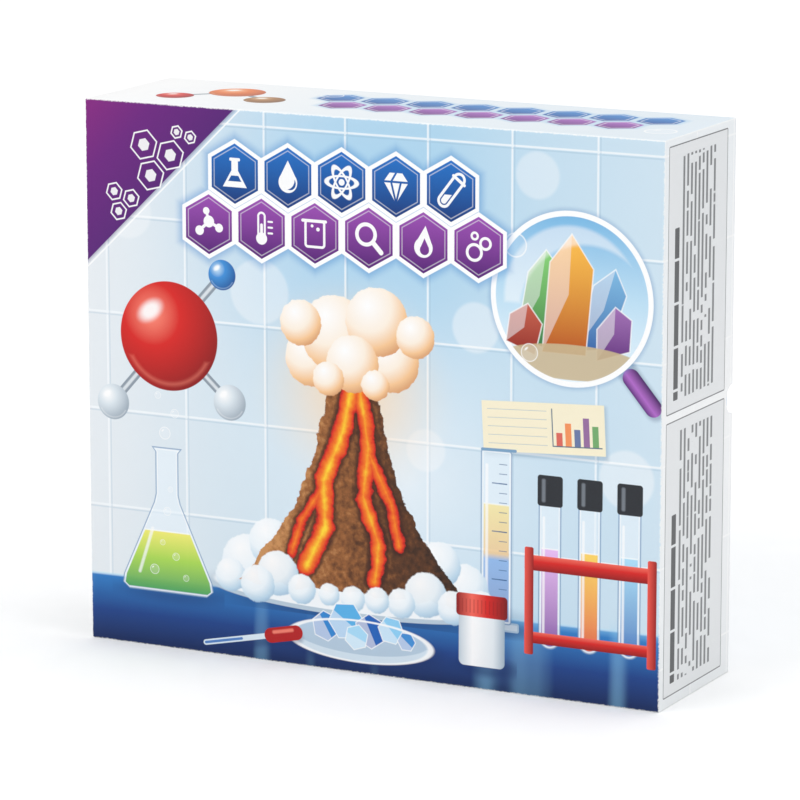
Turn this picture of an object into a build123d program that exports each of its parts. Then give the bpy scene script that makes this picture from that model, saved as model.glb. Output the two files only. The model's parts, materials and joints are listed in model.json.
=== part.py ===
"""A boxed chemistry set: a rigid board lid that lifts off a board base, a formed tray in the base,
and the glassware, tools, goggles and booklet that the tray holds.

Millimetres, +Z up. The case stands on its long lower wall. X is its width, Y its depth with the
printed panel at -Y, and Z its height. The origin is the middle of the case's footprint.
The wells of the tray stand in four rows. The rows and the deepest well set the case's outside,
which comes out at 330 x 90 x 290."""

import os
from math import atan2, cos, degrees, radians, sin, sqrt
from typing import NamedTuple

from build123d import *

os.makedirs("parts", exist_ok=True)

# ---------------------------------------------------------------- driving dimensions
# Lid and base
BOARD = 2.0  # greyboard
WRAP = 0.3  # printed paper glued round the board
TURN_IN = 15.0  # paper folded over the rim and glued inside
CREASE = 0.4  # flat on the board's folded edges
EDGE = 0.8  # flat on the wrapped edges
STAY = 0.2  # paper tape that holds two walls together at a corner
STAY_LEG = 14.0
STAY_SHORT = 4.0  # the tape stops this far from the rim and from the panel
LID_SHORT = 1.0  # the base's panel stands this far out of the lid's rim
LID_CLEARANCE = 0.6  # base wall to the lid's turn-in, each side
BASE_RIM_GAP = 0.5  # base rim to the lid's panel
NOTCH_RADIUS = 8.0  # thumb notch in the lid's side walls

# Tray
SHEET = 0.8  # formed plastic sheet
SEAT = 0.3  # clearance of what lies loose
TRAY_BELOW_RIM = 1.2  # tray's face under the base's rim
TRAY_CORNER = 3.0
DRAFT = 2.0  # degrees, walls of a formed well
SKIRT_DRAFT = 1.0  # degrees, the tray's outer skirt
ROOM = 1.5  # free space beside an item at its well's floor
FINGER = 12.0  # extra height of a well where fingers reach in
COVER_SPACE = 5.0  # an item's face lies this far under the tray's face
WEB = 8.5  # tray's face between two wells of a row
ROW_GAP = 8.0  # tray's face between two rows
SIDE_MARGIN = 8.3  # tray's face beside the widest row
END_MARGIN = 7.65  # tray's face above and below the rows
FOOT_RADIUS = 6.0  # hollow feet that reach back to the booklet
FOOT_REACH = 18.1  # they reach this far behind the deepest well
TIGHT_CORNER = 1.5  # flats in the corners of the wells
SOFT_CORNER = 4.0
WIDE_CORNER = 12.0

# Booklet
BOOK_WIDTH = 280.0
BOOK_HEIGHT = 198.0
COVER = 0.35
PAGES = 2.4
STAPLE_LENGTH = 12.0
STAPLE_WIRE = 0.6

# Test tubes, push-on caps and rack
TUBES = 3
TUBE_RADIUS = 8.0
TUBE_LENGTH = 84.0
TUBE_WALL = 1.2
TUBE_FLOOR = 4.0  # bore's floor above the outside of the round bottom
ROUND_END_ANGLES = (24, 57, 90)  # degrees up the round bottom, at the ends of its slopes
CAP_RADIUS = 10.0
CAP_HEIGHT = 14.0
CAP_TOP = 2.0
CAP_TRAVEL = 18.0
FIT = 0.08  # radial clearance of a cap, plug or seal that slides in its seat
RACK_PITCH = 33.0
RACK_DEPTH = 38.0
RACK_HEIGHT = 58.0
RACK_PLATE = 2.6
RACK_END = 3.0
RACK_FOOT = 5.0  # lower shelf above the ground
RACK_HOLE_CLEARANCE = 0.5
RACK_SLOT_RADIUS = 5.0  # half the slot in the lower shelf that the tubes rest in
RACK_EDGE = 3.0  # end plates stand this far past the shelves
RACK_TAB = 7.0
TAB_CLEARANCE = 0.1
RACK_CORNER = 6.0

# Beaker
BEAKER_RADIUS = 25.0
BEAKER_HEIGHT = 68.0
BEAKER_WALL = 1.8
BEAKER_LIP = 1.8
SPOUT_REACH = 2.5  # spout beyond the lip
SPOUT_RADIUS = 6.0
SPOUT_DROP = 12.0
SPOUT_ROOM = 4.0  # times its radius and drop, the round and the block that it is trimmed from

# Flask and stopper
FLASK_RADIUS = 25.0
FLASK_HEIGHT = 76.0
FLASK_WALL = 1.4
FLASK_HEEL = 4.0  # upright foot under the cone
NECK_RADIUS = 10.0
NECK_LENGTH = 20.0
NECK_BEAD = 1.5
STOPPER_IN = 12.0
STOPPER_OUT = 9.0
STOPPER_TRAVEL = 18.0

# Petri dish
DISH_RADIUS = 29.0
DISH_HEIGHT = 12.0
DISH_WALL = 1.2
DISH_LID_HEIGHT = 8.0
DISH_CLEARANCE = 0.4
DISH_TRAVEL = 20.0

# Sample pots and screw caps
POTS = 2
POT_RADIUS = 13.5
POT_HEIGHT = 33.0
POT_WALL = 1.3
POT_CAP_HEIGHT = 11.0
POT_CAP_WALL = 1.4
POT_THREAD = 0.4  # room for the thread between cap and pot

# Syringe
BARREL_RADIUS = 7.0
BARREL_WALL = 0.9
BARREL_LENGTH = 68.0
NOZZLE_RADIUS = 2.2
NOZZLE_LENGTH = 9.0
NOZZLE_BORE = 1.0
FLANGE_LONG = 25.0
FLANGE_SHORT = 15.0
FLANGE = 2.0
THUMB_RADIUS = 8.5
THUMB = 1.8
THUMB_STAND = 8.0  # thumb plate stands off the finger flange
PLUNGER_WEB = 1.3
SEAL_LENGTH = 8.0
PLUNGER_TRAVEL = 46.0

# Long tools
TWEEZER_LENGTH = 118.0
TWEEZER_WIDTH = 10.0
TWEEZER_OPEN = 9.0
TWEEZER_WIDEST = 0.6  # of the length, where the arms stand furthest apart
TWEEZER_ARM = 1.8
TWEEZER_JOINED = 12.0
TIP = 1.0
TIP_GAP = 0.5
TIP_WIDTH = 3.0
ROD_RADIUS = 2.5
ROD_LENGTH = 136.0
SPOON_LENGTH = 118.0
SPOON_RADIUS = 6.0
SPOON_DEPTH = 6.0
SPOON_HANDLE = 5.0
SPOON_SHEET = 1.4
BLADE_LENGTH = 26.0
BLADE_WIDTH = 9.0
DROPPER_LENGTH = 108.0
BULB_RADIUS = 6.5
BULB_LENGTH = 34.0
STEM_RADIUS = 3.6
STEM_TIP_RADIUS = 1.8
STEM_TIP_LENGTH = 26.0
STEM_SHOULDER = 3.0
DROPPER_WALL = 0.7

# Goggles
GOGGLE_WIDTH = 142.0
GOGGLE_HEIGHT = 70.0
GOGGLE_DEPTH = 40.0
STRAP_AT = 0.6  # of the depth from the lens, where the strap's clips sit
VENT_AT = 0.3  # of the depth from the lens
GOGGLE_CORNER = 26.0
GOGGLE_WALL = 2.2
NOSE_RADIUS = 17.0
NOSE_RISE = 20.0
NOSE_FILLET = 5.0
FACE_CURVE = 150.0  # radius of the edge that meets the face
FACE_HOLLOW = 14.0  # how far that edge is hollowed at the middle
LENS = 1.6
LENS_CLEARANCE = 0.1
VENT_LENGTH = 18.0
VENT_WIDTH = 9.0
VENT_HEIGHT = 2.0
VENT_SPREAD = 34.0
STRAP_WIDTH = 18.0
STRAP = 1.6
STRAP_BEND = 12.0
CLIP = 4.2
CLIP_LENGTH = 14.0
CLIP_EDGE = 2.0

# Balloons
BALLOONS = 2
BALLOON_LENGTH = 56.0
BALLOON_RADIUS = 12.0
BALLOON_NECK = 4.0
BALLOON_MOUTH = 8.0
BALLOON_THICK = 2.0

# ---------------------------------------------------------------- wells of the tray
SHELL = BOARD + WRAP
BASE_INSET = SHELL + WRAP + LID_CLEARANCE  # case outside to base outside
TRAY_INSET = BASE_INSET + SHELL + WRAP + SEAT  # case outside to the tray
POT_CAP_RADIUS = POT_RADIUS + POT_THREAD + POT_CAP_WALL
POT_TOTAL = POT_HEIGHT + SEAT + POT_CAP_WALL
RACK_LENGTH = TUBES * RACK_PITCH + 2 * RACK_END
DISH_LID_RADIUS = DISH_RADIUS + DISH_CLEARANCE + DISH_WALL
GOGGLE_SPAN = GOGGLE_WIDTH + 2 * CLIP
SYRINGE_LENGTH = NOZZLE_LENGTH + BARREL_LENGTH + THUMB_STAND + THUMB
BOOK_THICK = PAGES + 2 * COVER
FLAT_OFFSET = 2 - sqrt(2)  # growth of a corner's flat when its sides move out by 1


class Size(NamedTuple):
    """A well at its floor: its width, its height, the flats in its corners and its depth."""

    width: float
    height: float
    corner: float
    depth: float


class Well(NamedTuple):
    """A well placed in the tray by the left and lower sides of its floor."""

    left: float
    low: float
    size: Size

    @property
    def right(self):
        return self.left + self.size.width

    @property
    def top(self):
        return self.low + self.size.height

    @property
    def x(self):
        return self.left + self.size.width / 2

    @property
    def z(self):
        return self.low + self.size.height / 2

    @property
    def floor(self):
        return TRAY_FACE + self.size.depth


syringe_size = Size(SYRINGE_LENGTH + PLUNGER_TRAVEL + 2 * ROOM, 2 * (THUMB_RADIUS + ROOM),
                    TIGHT_CORNER, FLANGE_SHORT / 2 + THUMB_RADIUS + COVER_SPACE)
flange_size = Size(FLANGE + 2 * ROOM, FLANGE_LONG + 2 * ROOM, TIGHT_CORNER,
                   FLANGE_SHORT + COVER_SPACE)
tweezer_size = Size(TWEEZER_LENGTH + 2 * ROOM, TWEEZER_WIDTH + 2 * ROOM, TIGHT_CORNER,
                    TWEEZER_OPEN + 2 * TWEEZER_ARM + COVER_SPACE)
rod_size = Size(ROD_LENGTH + 2 * ROOM, 2 * (ROD_RADIUS + ROOM), TIGHT_CORNER,
                2 * ROD_RADIUS + COVER_SPACE)
spoon_size = Size(SPOON_LENGTH + 2 * ROOM, 2 * (SPOON_RADIUS + ROOM), TIGHT_CORNER,
                  SPOON_DEPTH + COVER_SPACE)
flask_size = Size(2 * (FLASK_RADIUS + ROOM), FLASK_HEIGHT + STOPPER_OUT + STOPPER_TRAVEL + 2 * ROOM,
                  TIGHT_CORNER, 2 * FLASK_RADIUS + COVER_SPACE)
beaker_size = Size(2 * (BEAKER_RADIUS + BEAKER_LIP + ROOM), BEAKER_HEIGHT + FINGER, TIGHT_CORNER,
                   2 * (BEAKER_RADIUS + BEAKER_LIP) + SPOUT_REACH + COVER_SPACE)
pot_size = Size(2 * (POT_CAP_RADIUS + ROOM), POT_TOTAL + FINGER, TIGHT_CORNER,
                2 * POT_CAP_RADIUS + COVER_SPACE)
dropper_size = Size(2 * (BULB_RADIUS + ROOM), DROPPER_LENGTH + 2 * ROOM, TIGHT_CORNER,
                    2 * BULB_RADIUS + COVER_SPACE)
rack_size = Size(RACK_LENGTH + 2 * ROOM, RACK_FOOT + TUBE_LENGTH + CAP_TOP + CAP_TRAVEL + 3 * ROOM,
                 TIGHT_CORNER, RACK_DEPTH + COVER_SPACE)
goggle_size = Size(GOGGLE_SPAN + 2 * ROOM, GOGGLE_HEIGHT + FINGER, WIDE_CORNER,
                   GOGGLE_DEPTH + STRAP_BEND + COVER_SPACE)
balloon_size = Size(BALLOONS * (2 * BALLOON_RADIUS + ROOM) + ROOM, BALLOON_LENGTH + 2 * ROOM,
                    SOFT_CORNER, BALLOON_THICK + COVER_SPACE)
dish_size = Size(2 * (DISH_LID_RADIUS + ROOM), 2 * (DISH_LID_RADIUS + ROOM), 0.0,
                 DISH_HEIGHT + DISH_WALL + DISH_TRAVEL + COVER_SPACE)

rows = (
    (flange_size.height, (syringe_size, tweezer_size)),
    (spoon_size.height, (rod_size, spoon_size)),
    (max(rack_size.height, dropper_size.height, flask_size.height, beaker_size.height,
         POTS * (pot_size.height + WEB) - WEB),
     (flask_size, beaker_size, pot_size, dropper_size, rack_size)),
    (max(goggle_size.height, balloon_size.height, dish_size.height),
     (goggle_size, balloon_size, dish_size)),
)
row_widths = [sum(size.width for size in sizes) + WEB * (len(sizes) - 1) for _, sizes in rows]
TRAY_WIDTH = max(row_widths) + 2 * SIDE_MARGIN
TRAY_HEIGHT = sum(height for height, _ in rows) + ROW_GAP * (len(rows) - 1) + 2 * END_MARGIN
DEEPEST = max(size.depth for _, sizes in rows for size in sizes)
FOOT_DEPTH = DEEPEST + FOOT_REACH

CASE_WIDTH = TRAY_WIDTH + 2 * TRAY_INSET
CASE_HEIGHT = TRAY_HEIGHT + 2 * TRAY_INSET
CASE_DEPTH = (SHELL + BASE_RIM_GAP + TRAY_BELOW_RIM + FOOT_DEPTH + SHEET + SEAT + BOOK_THICK
              + SEAT + SHELL)
FRONT = -CASE_DEPTH / 2
BACK = CASE_DEPTH / 2
MIDDLE = CASE_HEIGHT / 2
LID_RIM = BACK - LID_SHORT
BASE_RIM = FRONT + SHELL + BASE_RIM_GAP
BASE_FLOOR = BACK - SHELL  # inner face of the base's panel
TRAY_FACE = BASE_RIM + TRAY_BELOW_RIM
SKIRT_END = BASE_FLOOR - SEAT


def placed_row(number):
    """The wells of a row, from the left, centred in the row's height."""
    low = TRAY_INSET + END_MARGIN + sum(height + ROW_GAP for height, _ in rows[:number])
    left = -TRAY_WIDTH / 2 + SIDE_MARGIN
    height, sizes = rows[number]
    placed = []
    for size in sizes:
        placed.append(Well(left, low + (height - size.height) / 2, size))
        left += size.width + WEB
    return placed


def lowered(well, number):
    """The same well at the lower side of its row, where tall and short wells share a line."""
    low = TRAY_INSET + END_MARGIN + sum(height + ROW_GAP for height, _ in rows[:number])
    return well._replace(low=low)


syringe_well, tweezer_well = placed_row(0)
flange_well = Well(syringe_well.left + NOZZLE_LENGTH + BARREL_LENGTH - FLANGE,
                   syringe_well.z - flange_size.height / 2, flange_size)
rod_well, spoon_well = placed_row(1)
flask_well, beaker_well, first_pot_well, dropper_well, rack_well = [
    lowered(well, 2) for well in placed_row(2)]
pot_wells = [first_pot_well._replace(low=first_pot_well.low + i * (pot_size.height + WEB))
             for i in range(POTS)]
goggle_well, balloon_well, dish_well = placed_row(3)
foot_size = Size(2 * FOOT_RADIUS, 2 * FOOT_RADIUS, FOOT_RADIUS * FLAT_OFFSET, FOOT_DEPTH)
foot_spots = (
    (beaker_well.x, (beaker_well.top + goggle_well.low) / 2),
    ((spoon_well.right + TRAY_WIDTH / 2 - SIDE_MARGIN) / 2, (tweezer_well.top + rod_well.low) / 2),
)
foot_wells = [Well(x - FOOT_RADIUS, z - FOOT_RADIUS, foot_size) for x, z in foot_spots]
wells = (syringe_well, flange_well, tweezer_well, rod_well, spoon_well, flask_well, beaker_well,
         *pot_wells, dropper_well, rack_well, goggle_well, balloon_well, dish_well, *foot_wells)


# ---------------------------------------------------------------- helpers
def facing(y):
    """The drawing plane at depth y seen from the front: +X right, +Z up, extruding towards -Y."""
    return Plane.XZ.offset(-y)


def upright(x, y, z):
    """The drawing plane of a vertical axis: its x is the radius and its y the height."""
    return Plane(origin=(x, y, z), x_dir=(1, 0, 0), z_dir=(0, -1, 0))


def vertical(x, y):
    """The vertical axis at a place."""
    return Axis((x, y, 0), (0, 0, 1))


def save(builder, name):
    """Label a finished piece and write it as its own file."""
    builder.part.label = name
    export_step(builder.part, f"parts/{name}.step")


# ---------------------------------------------------------------- lid and base
def ordered(a, b):
    """Two depths, the smaller first."""
    return min(a, b), max(a, b)


def shell_block(inset, y_panel, y_rim, flat):
    """The closed outside of a lid or base, with flats on its edges apart from those of the rim."""
    y_low, y_high = ordered(y_panel, y_rim)
    with BuildPart() as solid:
        with Locations((0, (y_low + y_high) / 2, MIDDLE)):
            Box(CASE_WIDTH - 2 * inset, y_high - y_low, CASE_HEIGHT - 2 * inset)
        panel = solid.faces().sort_by(Axis.Y)[0 if y_panel == y_low else -1]
        chamfer(solid.edges().filter_by(Axis.Y) + panel.edges(), flat)
    return solid.part


def wrapped_shell(inset, y_panel, y_rim):
    """The board, its paper wrap and its corner tapes, for a shell open at y_rim.

    inset is how far the wrapped outside stands in from the case's outside."""
    way = 1 if y_rim > y_panel else -1
    floor_y = y_panel + way * SHELL
    outside = shell_block(inset, y_panel, y_rim, EDGE)
    boarded = shell_block(inset + WRAP, y_panel + way * WRAP, y_rim - way * WRAP, CREASE)
    taped = shell_block(inset + WRAP + STAY, y_panel + way * (WRAP + STAY), y_rim - way * WRAP,
                        CREASE - STAY * FLAT_OFFSET)
    inner_width = CASE_WIDTH - 2 * (inset + SHELL)
    inner_height = CASE_HEIGHT - 2 * (inset + SHELL)
    cavity_y = (floor_y + y_rim) / 2
    cavity_depth = abs(y_rim - floor_y)
    fold_depth = WRAP + TURN_IN
    fold_y = y_rim - way * fold_depth / 2
    stay_depth = cavity_depth - 2 * STAY_SHORT
    corner_x = CASE_WIDTH / 2 - inset - STAY_LEG / 2
    corner_z = CASE_HEIGHT / 2 - inset - STAY_LEG / 2

    with BuildPart() as stays:
        add(boarded)
        add(taped, mode=Mode.SUBTRACT)
        with Locations(*[(i * corner_x, cavity_y, MIDDLE + j * corner_z)
                         for i in (-1, 1) for j in (-1, 1)]):
            Box(STAY_LEG, stay_depth, STAY_LEG, mode=Mode.INTERSECT)

    with BuildPart() as board:
        add(boarded)
        with Locations((0, cavity_y, MIDDLE)):
            Box(inner_width, cavity_depth, inner_height, mode=Mode.SUBTRACT)
        add(stays.part, mode=Mode.SUBTRACT)

    with BuildPart() as wrap:
        add(outside)
        add(boarded, mode=Mode.SUBTRACT)
        with Locations((0, fold_y, MIDDLE)):
            Box(inner_width, fold_depth, inner_height)
            Box(inner_width - 2 * WRAP, fold_depth, inner_height - 2 * WRAP, mode=Mode.SUBTRACT)
    return board, wrap, stays


lid_board, lid_wrap, lid_corner_stays = wrapped_shell(0.0, FRONT, LID_RIM)
base_board, base_wrap, base_corner_stays = wrapped_shell(BASE_INSET, BACK, BASE_RIM)

# Thumb notches: half moons in the rim of the lid's two side walls
for piece in (lid_board, lid_wrap):
    with piece:
        with Locations((0, LID_RIM, MIDDLE)):
            Cylinder(NOTCH_RADIUS, CASE_WIDTH + 2 * SHELL, rotation=(0, 90, 0), mode=Mode.SUBTRACT)

save(lid_board, "lid_board")
save(lid_wrap, "lid_wrap")
save(lid_corner_stays, "lid_corner_stays")
save(base_board, "base_board")
save(base_wrap, "base_wrap")
save(base_corner_stays, "base_corner_stays")


# ---------------------------------------------------------------- formed tray
def drafted_block(y_floor, x, z, size, skin, angle):
    """A block from a well's floor to the tray's face, its walls opening towards the face.

    skin moves its floor and walls out by the sheet's thickness."""
    with BuildPart() as solid:
        with BuildSketch(facing(y_floor + skin)) as outline:
            with Locations((x, z)):
                if size.corner:
                    Rectangle(size.width + 2 * skin, size.height + 2 * skin)
                else:
                    Circle(size.width / 2 + skin)
            if size.corner:
                chamfer(outline.vertices(), size.corner + skin * FLAT_OFFSET)
        extrude(amount=size.depth + skin)
        if size.corner:
            walls = [face for face in solid.faces() if abs(face.normal_at().Y) < 0.5]
            draft(walls, facing(y_floor + skin), angle)
    return solid.part


tray_size = Size(TRAY_WIDTH, TRAY_HEIGHT, TRAY_CORNER, SKIRT_END - TRAY_FACE)
tray_hollow_size = Size(TRAY_WIDTH - 2 * SHEET, TRAY_HEIGHT - 2 * SHEET,
                        TRAY_CORNER - SHEET * FLAT_OFFSET, SKIRT_END - TRAY_FACE - SHEET)
tray_block = drafted_block(SKIRT_END, 0, MIDDLE, tray_size, 0, SKIRT_DRAFT)
tray_hollow = drafted_block(SKIRT_END, 0, MIDDLE, tray_hollow_size, 0, SKIRT_DRAFT)
well_skins = [drafted_block(well.floor, well.x, well.z, well.size, SHEET, -DRAFT)
              for well in wells]
well_pockets = [drafted_block(well.floor, well.x, well.z, well.size, 0, -DRAFT) for well in wells]

with BuildPart() as insert_tray:
    add(tray_block)
    add(tray_hollow, mode=Mode.SUBTRACT)
    add(well_skins)
    add(well_pockets, mode=Mode.SUBTRACT)
save(insert_tray, "insert_tray")

# ---------------------------------------------------------------- booklet behind the tray
BOOK_BACK = BASE_FLOOR - SEAT
book_z = TRAY_INSET + SHEET + SEAT + BOOK_HEIGHT / 2

with BuildPart() as booklet_pages:
    with BuildSketch(facing(BOOK_BACK - COVER)):
        with Locations((0, book_z)):
            Rectangle(BOOK_WIDTH - 2 * COVER, BOOK_HEIGHT - 2 * COVER)
    extrude(amount=PAGES)
save(booklet_pages, "booklet_pages")

with BuildPart() as booklet_cover:
    with BuildSketch(facing(BOOK_BACK)):
        with Locations((0, book_z)):
            Rectangle(BOOK_WIDTH, BOOK_HEIGHT)
    extrude(amount=BOOK_THICK)
    with BuildSketch(facing(BOOK_BACK - COVER)):
        with Locations((COVER, book_z)):
            Rectangle(BOOK_WIDTH, BOOK_HEIGHT)
    extrude(amount=PAGES, mode=Mode.SUBTRACT)
save(booklet_cover, "booklet_cover")

with BuildPart() as booklet_staples:
    with BuildSketch(Plane.YZ.offset(-BOOK_WIDTH / 2)):
        with Locations((BOOK_BACK - BOOK_THICK / 2, book_z)):
            with GridLocations(0, BOOK_HEIGHT / 2, 1, 2):
                Rectangle(STAPLE_WIRE, STAPLE_LENGTH)
    extrude(amount=-STAPLE_WIRE)
save(booklet_staples, "booklet_staples")

# ---------------------------------------------------------------- test tubes in their rack
rack_y = rack_well.floor - SEAT - RACK_DEPTH / 2
rack_ground = rack_well.low + SEAT
shelf_length = RACK_LENGTH - 2 * RACK_END
shelf_depth = RACK_DEPTH - 2 * RACK_EDGE
tube_xs = [rack_well.x + (i - (TUBES - 1) / 2) * RACK_PITCH for i in range(TUBES)]
lower_shelf_top = rack_ground + RACK_FOOT + RACK_PLATE
upper_shelf_top = rack_ground + RACK_HEIGHT - RACK_EDGE
# a tube's round bottom rests between the two edges of the lower shelf's slot
edge_to_centre = sqrt(TUBE_RADIUS**2 - RACK_SLOT_RADIUS**2)
tube_bottom = lower_shelf_top + edge_to_centre - TUBE_RADIUS + SEAT

for name, top in (("rack_lower_shelf", lower_shelf_top), ("rack_upper_shelf", upper_shelf_top)):
    with BuildPart() as shelf:
        with BuildSketch(Plane.XY.offset(top)):
            with Locations((rack_well.x, rack_y)):
                Rectangle(shelf_length, shelf_depth)
                with GridLocations(0, shelf_depth - RACK_TAB, 1, 2):
                    Rectangle(RACK_LENGTH, RACK_TAB)
                if name == "rack_lower_shelf":
                    SlotOverall(shelf_length - 2 * RACK_TAB, 2 * RACK_SLOT_RADIUS,
                                mode=Mode.SUBTRACT)
            if name == "rack_upper_shelf":
                with Locations(*[(x, rack_y) for x in tube_xs]):
                    Circle(TUBE_RADIUS + RACK_HOLE_CLEARANCE, mode=Mode.SUBTRACT)
        extrude(amount=-RACK_PLATE)
    save(shelf, name)

for side, name in ((-1, "rack_left_end"), (1, "rack_right_end")):
    with BuildPart() as rack_end:
        with BuildSketch(Plane.YZ.offset(rack_well.x + side * shelf_length / 2)) as outline:
            with Locations((rack_y, rack_ground + RACK_HEIGHT / 2)):
                Rectangle(RACK_DEPTH, RACK_HEIGHT)
            chamfer(outline.vertices().group_by(Axis.Y)[-1], RACK_CORNER)
            with Locations((rack_y, rack_ground)):
                Rectangle(RACK_DEPTH / 2, RACK_FOOT, mode=Mode.SUBTRACT)
            for top in (lower_shelf_top, upper_shelf_top):
                with Locations((rack_y, top - RACK_PLATE / 2)):
                    with GridLocations(shelf_depth - RACK_TAB, 0, 2, 1):
                        Rectangle(RACK_TAB + 2 * TAB_CLEARANCE, RACK_PLATE + 2 * TAB_CLEARANCE,
                                  mode=Mode.SUBTRACT)
        extrude(amount=side * RACK_END)
    save(rack_end, name)

tube_bore = TUBE_RADIUS - TUBE_WALL
# the round bottom in two slopes, whose corners lie on its hemisphere
round_end = [(TUBE_RADIUS * sin(radians(angle)), TUBE_RADIUS * (1 - cos(radians(angle))))
             for angle in ROUND_END_ANGLES]
for number, x in enumerate(tube_xs, 1):
    with BuildPart() as test_tube:
        with BuildSketch(upright(x, rack_y, tube_bottom)):
            with BuildLine():
                Polyline((0, 0), *round_end, (TUBE_RADIUS, TUBE_LENGTH),
                         (tube_bore, TUBE_LENGTH), (tube_bore, TUBE_FLOOR), (0, TUBE_FLOOR),
                         (0, 0))
            make_face()
        revolve(axis=vertical(x, rack_y))
    save(test_tube, f"test_tube_{number}")

    cap_bore = TUBE_RADIUS + FIT
    with BuildPart() as tube_cap:
        with BuildSketch(upright(x, rack_y, tube_bottom + TUBE_LENGTH + SEAT + CAP_TOP)):
            with BuildLine():
                Polyline((0, 0), (CAP_RADIUS, 0), (CAP_RADIUS, -CAP_HEIGHT),
                         (cap_bore, -CAP_HEIGHT), (cap_bore, -CAP_TOP), (0, -CAP_TOP), (0, 0))
            make_face()
        revolve(axis=vertical(x, rack_y))
    save(tube_cap, f"tube_cap_{number}")

# ---------------------------------------------------------------- beaker
beaker_x = beaker_well.x
beaker_y = beaker_well.floor - SEAT - BEAKER_RADIUS - BEAKER_LIP
beaker_ground = beaker_well.low + SEAT
beaker_top = beaker_ground + BEAKER_HEIGHT
beaker_bore = BEAKER_RADIUS - BEAKER_WALL
spout_y = beaker_y - BEAKER_RADIUS - BEAKER_LIP - SPOUT_REACH + SPOUT_RADIUS
spout_slope = degrees(atan2(BEAKER_LIP + SPOUT_REACH + BEAKER_WALL, SPOUT_DROP))


def spout(radius):
    """The lip drawn out to the front: a slanted round that leaves the wall below the rim."""
    with BuildPart() as solid:
        with Locations((beaker_x, spout_y, beaker_top)):
            Cylinder(radius, SPOUT_ROOM * SPOUT_DROP, rotation=(spout_slope, 0, 0))
        with Locations((beaker_x, spout_y, beaker_top)):
            Box(SPOUT_ROOM * SPOUT_RADIUS, 2 * SPOUT_ROOM * SPOUT_RADIUS, SPOUT_DROP,
                align=(Align.CENTER, Align.CENTER, Align.MAX), mode=Mode.INTERSECT)
    return solid.part


spout_outside = spout(SPOUT_RADIUS)
spout_inside = spout(SPOUT_RADIUS - BEAKER_WALL)
with BuildPart() as beaker:
    with BuildSketch(upright(beaker_x, beaker_y, beaker_ground)):
        with BuildLine():
            Polyline((0, 0), (BEAKER_RADIUS, 0), (BEAKER_RADIUS, BEAKER_HEIGHT - BEAKER_LIP),
                     (BEAKER_RADIUS + BEAKER_LIP, BEAKER_HEIGHT - BEAKER_LIP),
                     (BEAKER_RADIUS + BEAKER_LIP, BEAKER_HEIGHT), (0, BEAKER_HEIGHT), (0, 0))
        make_face()
    revolve(axis=vertical(beaker_x, beaker_y))
    add(spout_outside)
    with Locations((beaker_x, beaker_y, beaker_ground + BEAKER_WALL)):
        Cylinder(beaker_bore, BEAKER_HEIGHT, align=(Align.CENTER, Align.CENTER, Align.MIN),
                 mode=Mode.SUBTRACT)
    add(spout_inside, mode=Mode.SUBTRACT)
save(beaker, "beaker")

# ---------------------------------------------------------------- flask and its stopper
flask_y = flask_well.floor - SEAT - FLASK_RADIUS
flask_ground = flask_well.low + SEAT
neck_bore = NECK_RADIUS - FLASK_WALL
shoulder = FLASK_HEIGHT - NECK_LENGTH
with BuildPart() as flask:
    with BuildSketch(upright(flask_well.x, flask_y, flask_ground)):
        with BuildLine():
            Polyline((0, 0), (FLASK_RADIUS, 0), (FLASK_RADIUS, FLASK_HEEL),
                     (NECK_RADIUS, shoulder), (NECK_RADIUS, FLASK_HEIGHT - 2 * NECK_BEAD),
                     (NECK_RADIUS + NECK_BEAD, FLASK_HEIGHT - 2 * NECK_BEAD),
                     (NECK_RADIUS + NECK_BEAD, FLASK_HEIGHT), (neck_bore, FLASK_HEIGHT),
                     (neck_bore, shoulder), (FLASK_RADIUS - 2 * FLASK_WALL, FLASK_WALL),
                     (0, FLASK_WALL), (0, 0))
        make_face()
    revolve(axis=vertical(flask_well.x, flask_y))
save(flask, "flask")

with BuildPart() as flask_stopper:
    with BuildSketch(upright(flask_well.x, flask_y, flask_ground + FLASK_HEIGHT + SEAT)):
        with BuildLine():
            Polyline((0, -STOPPER_IN), (neck_bore - FIT, -STOPPER_IN), (neck_bore - FIT, 0),
                     (NECK_RADIUS, 0), (NECK_RADIUS, STOPPER_OUT), (0, STOPPER_OUT),
                     (0, -STOPPER_IN))
        make_face()
    revolve(axis=vertical(flask_well.x, flask_y))
save(flask_stopper, "flask_stopper")

# ---------------------------------------------------------------- petri dish, facing the front
dish_z = dish_well.low + SEAT + DISH_LID_RADIUS
dish_plane = Plane(origin=(dish_well.x, dish_well.floor - SEAT, dish_z), x_dir=(1, 0, 0),
                   z_dir=(0, 0, -1))
dish_axis = Axis((dish_well.x, 0, dish_z), (0, -1, 0))
dish_bore = DISH_RADIUS - DISH_WALL
with BuildPart() as petri_dish:
    with BuildSketch(dish_plane):
        with BuildLine():
            Polyline((0, 0), (DISH_RADIUS, 0), (DISH_RADIUS, DISH_HEIGHT),
                     (dish_bore, DISH_HEIGHT), (dish_bore, DISH_WALL), (0, DISH_WALL), (0, 0))
        make_face()
    revolve(axis=dish_axis)
save(petri_dish, "petri_dish")

lid_under = DISH_HEIGHT + SEAT
lid_top = lid_under + DISH_WALL
lid_bore = DISH_RADIUS + DISH_CLEARANCE
with BuildPart() as petri_lid:
    with BuildSketch(dish_plane):
        with BuildLine():
            Polyline((0, lid_top), (DISH_LID_RADIUS, lid_top),
                     (DISH_LID_RADIUS, lid_top - DISH_LID_HEIGHT),
                     (lid_bore, lid_top - DISH_LID_HEIGHT), (lid_bore, lid_under),
                     (0, lid_under), (0, lid_top))
        make_face()
    revolve(axis=dish_axis)
save(petri_lid, "petri_lid")

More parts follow.
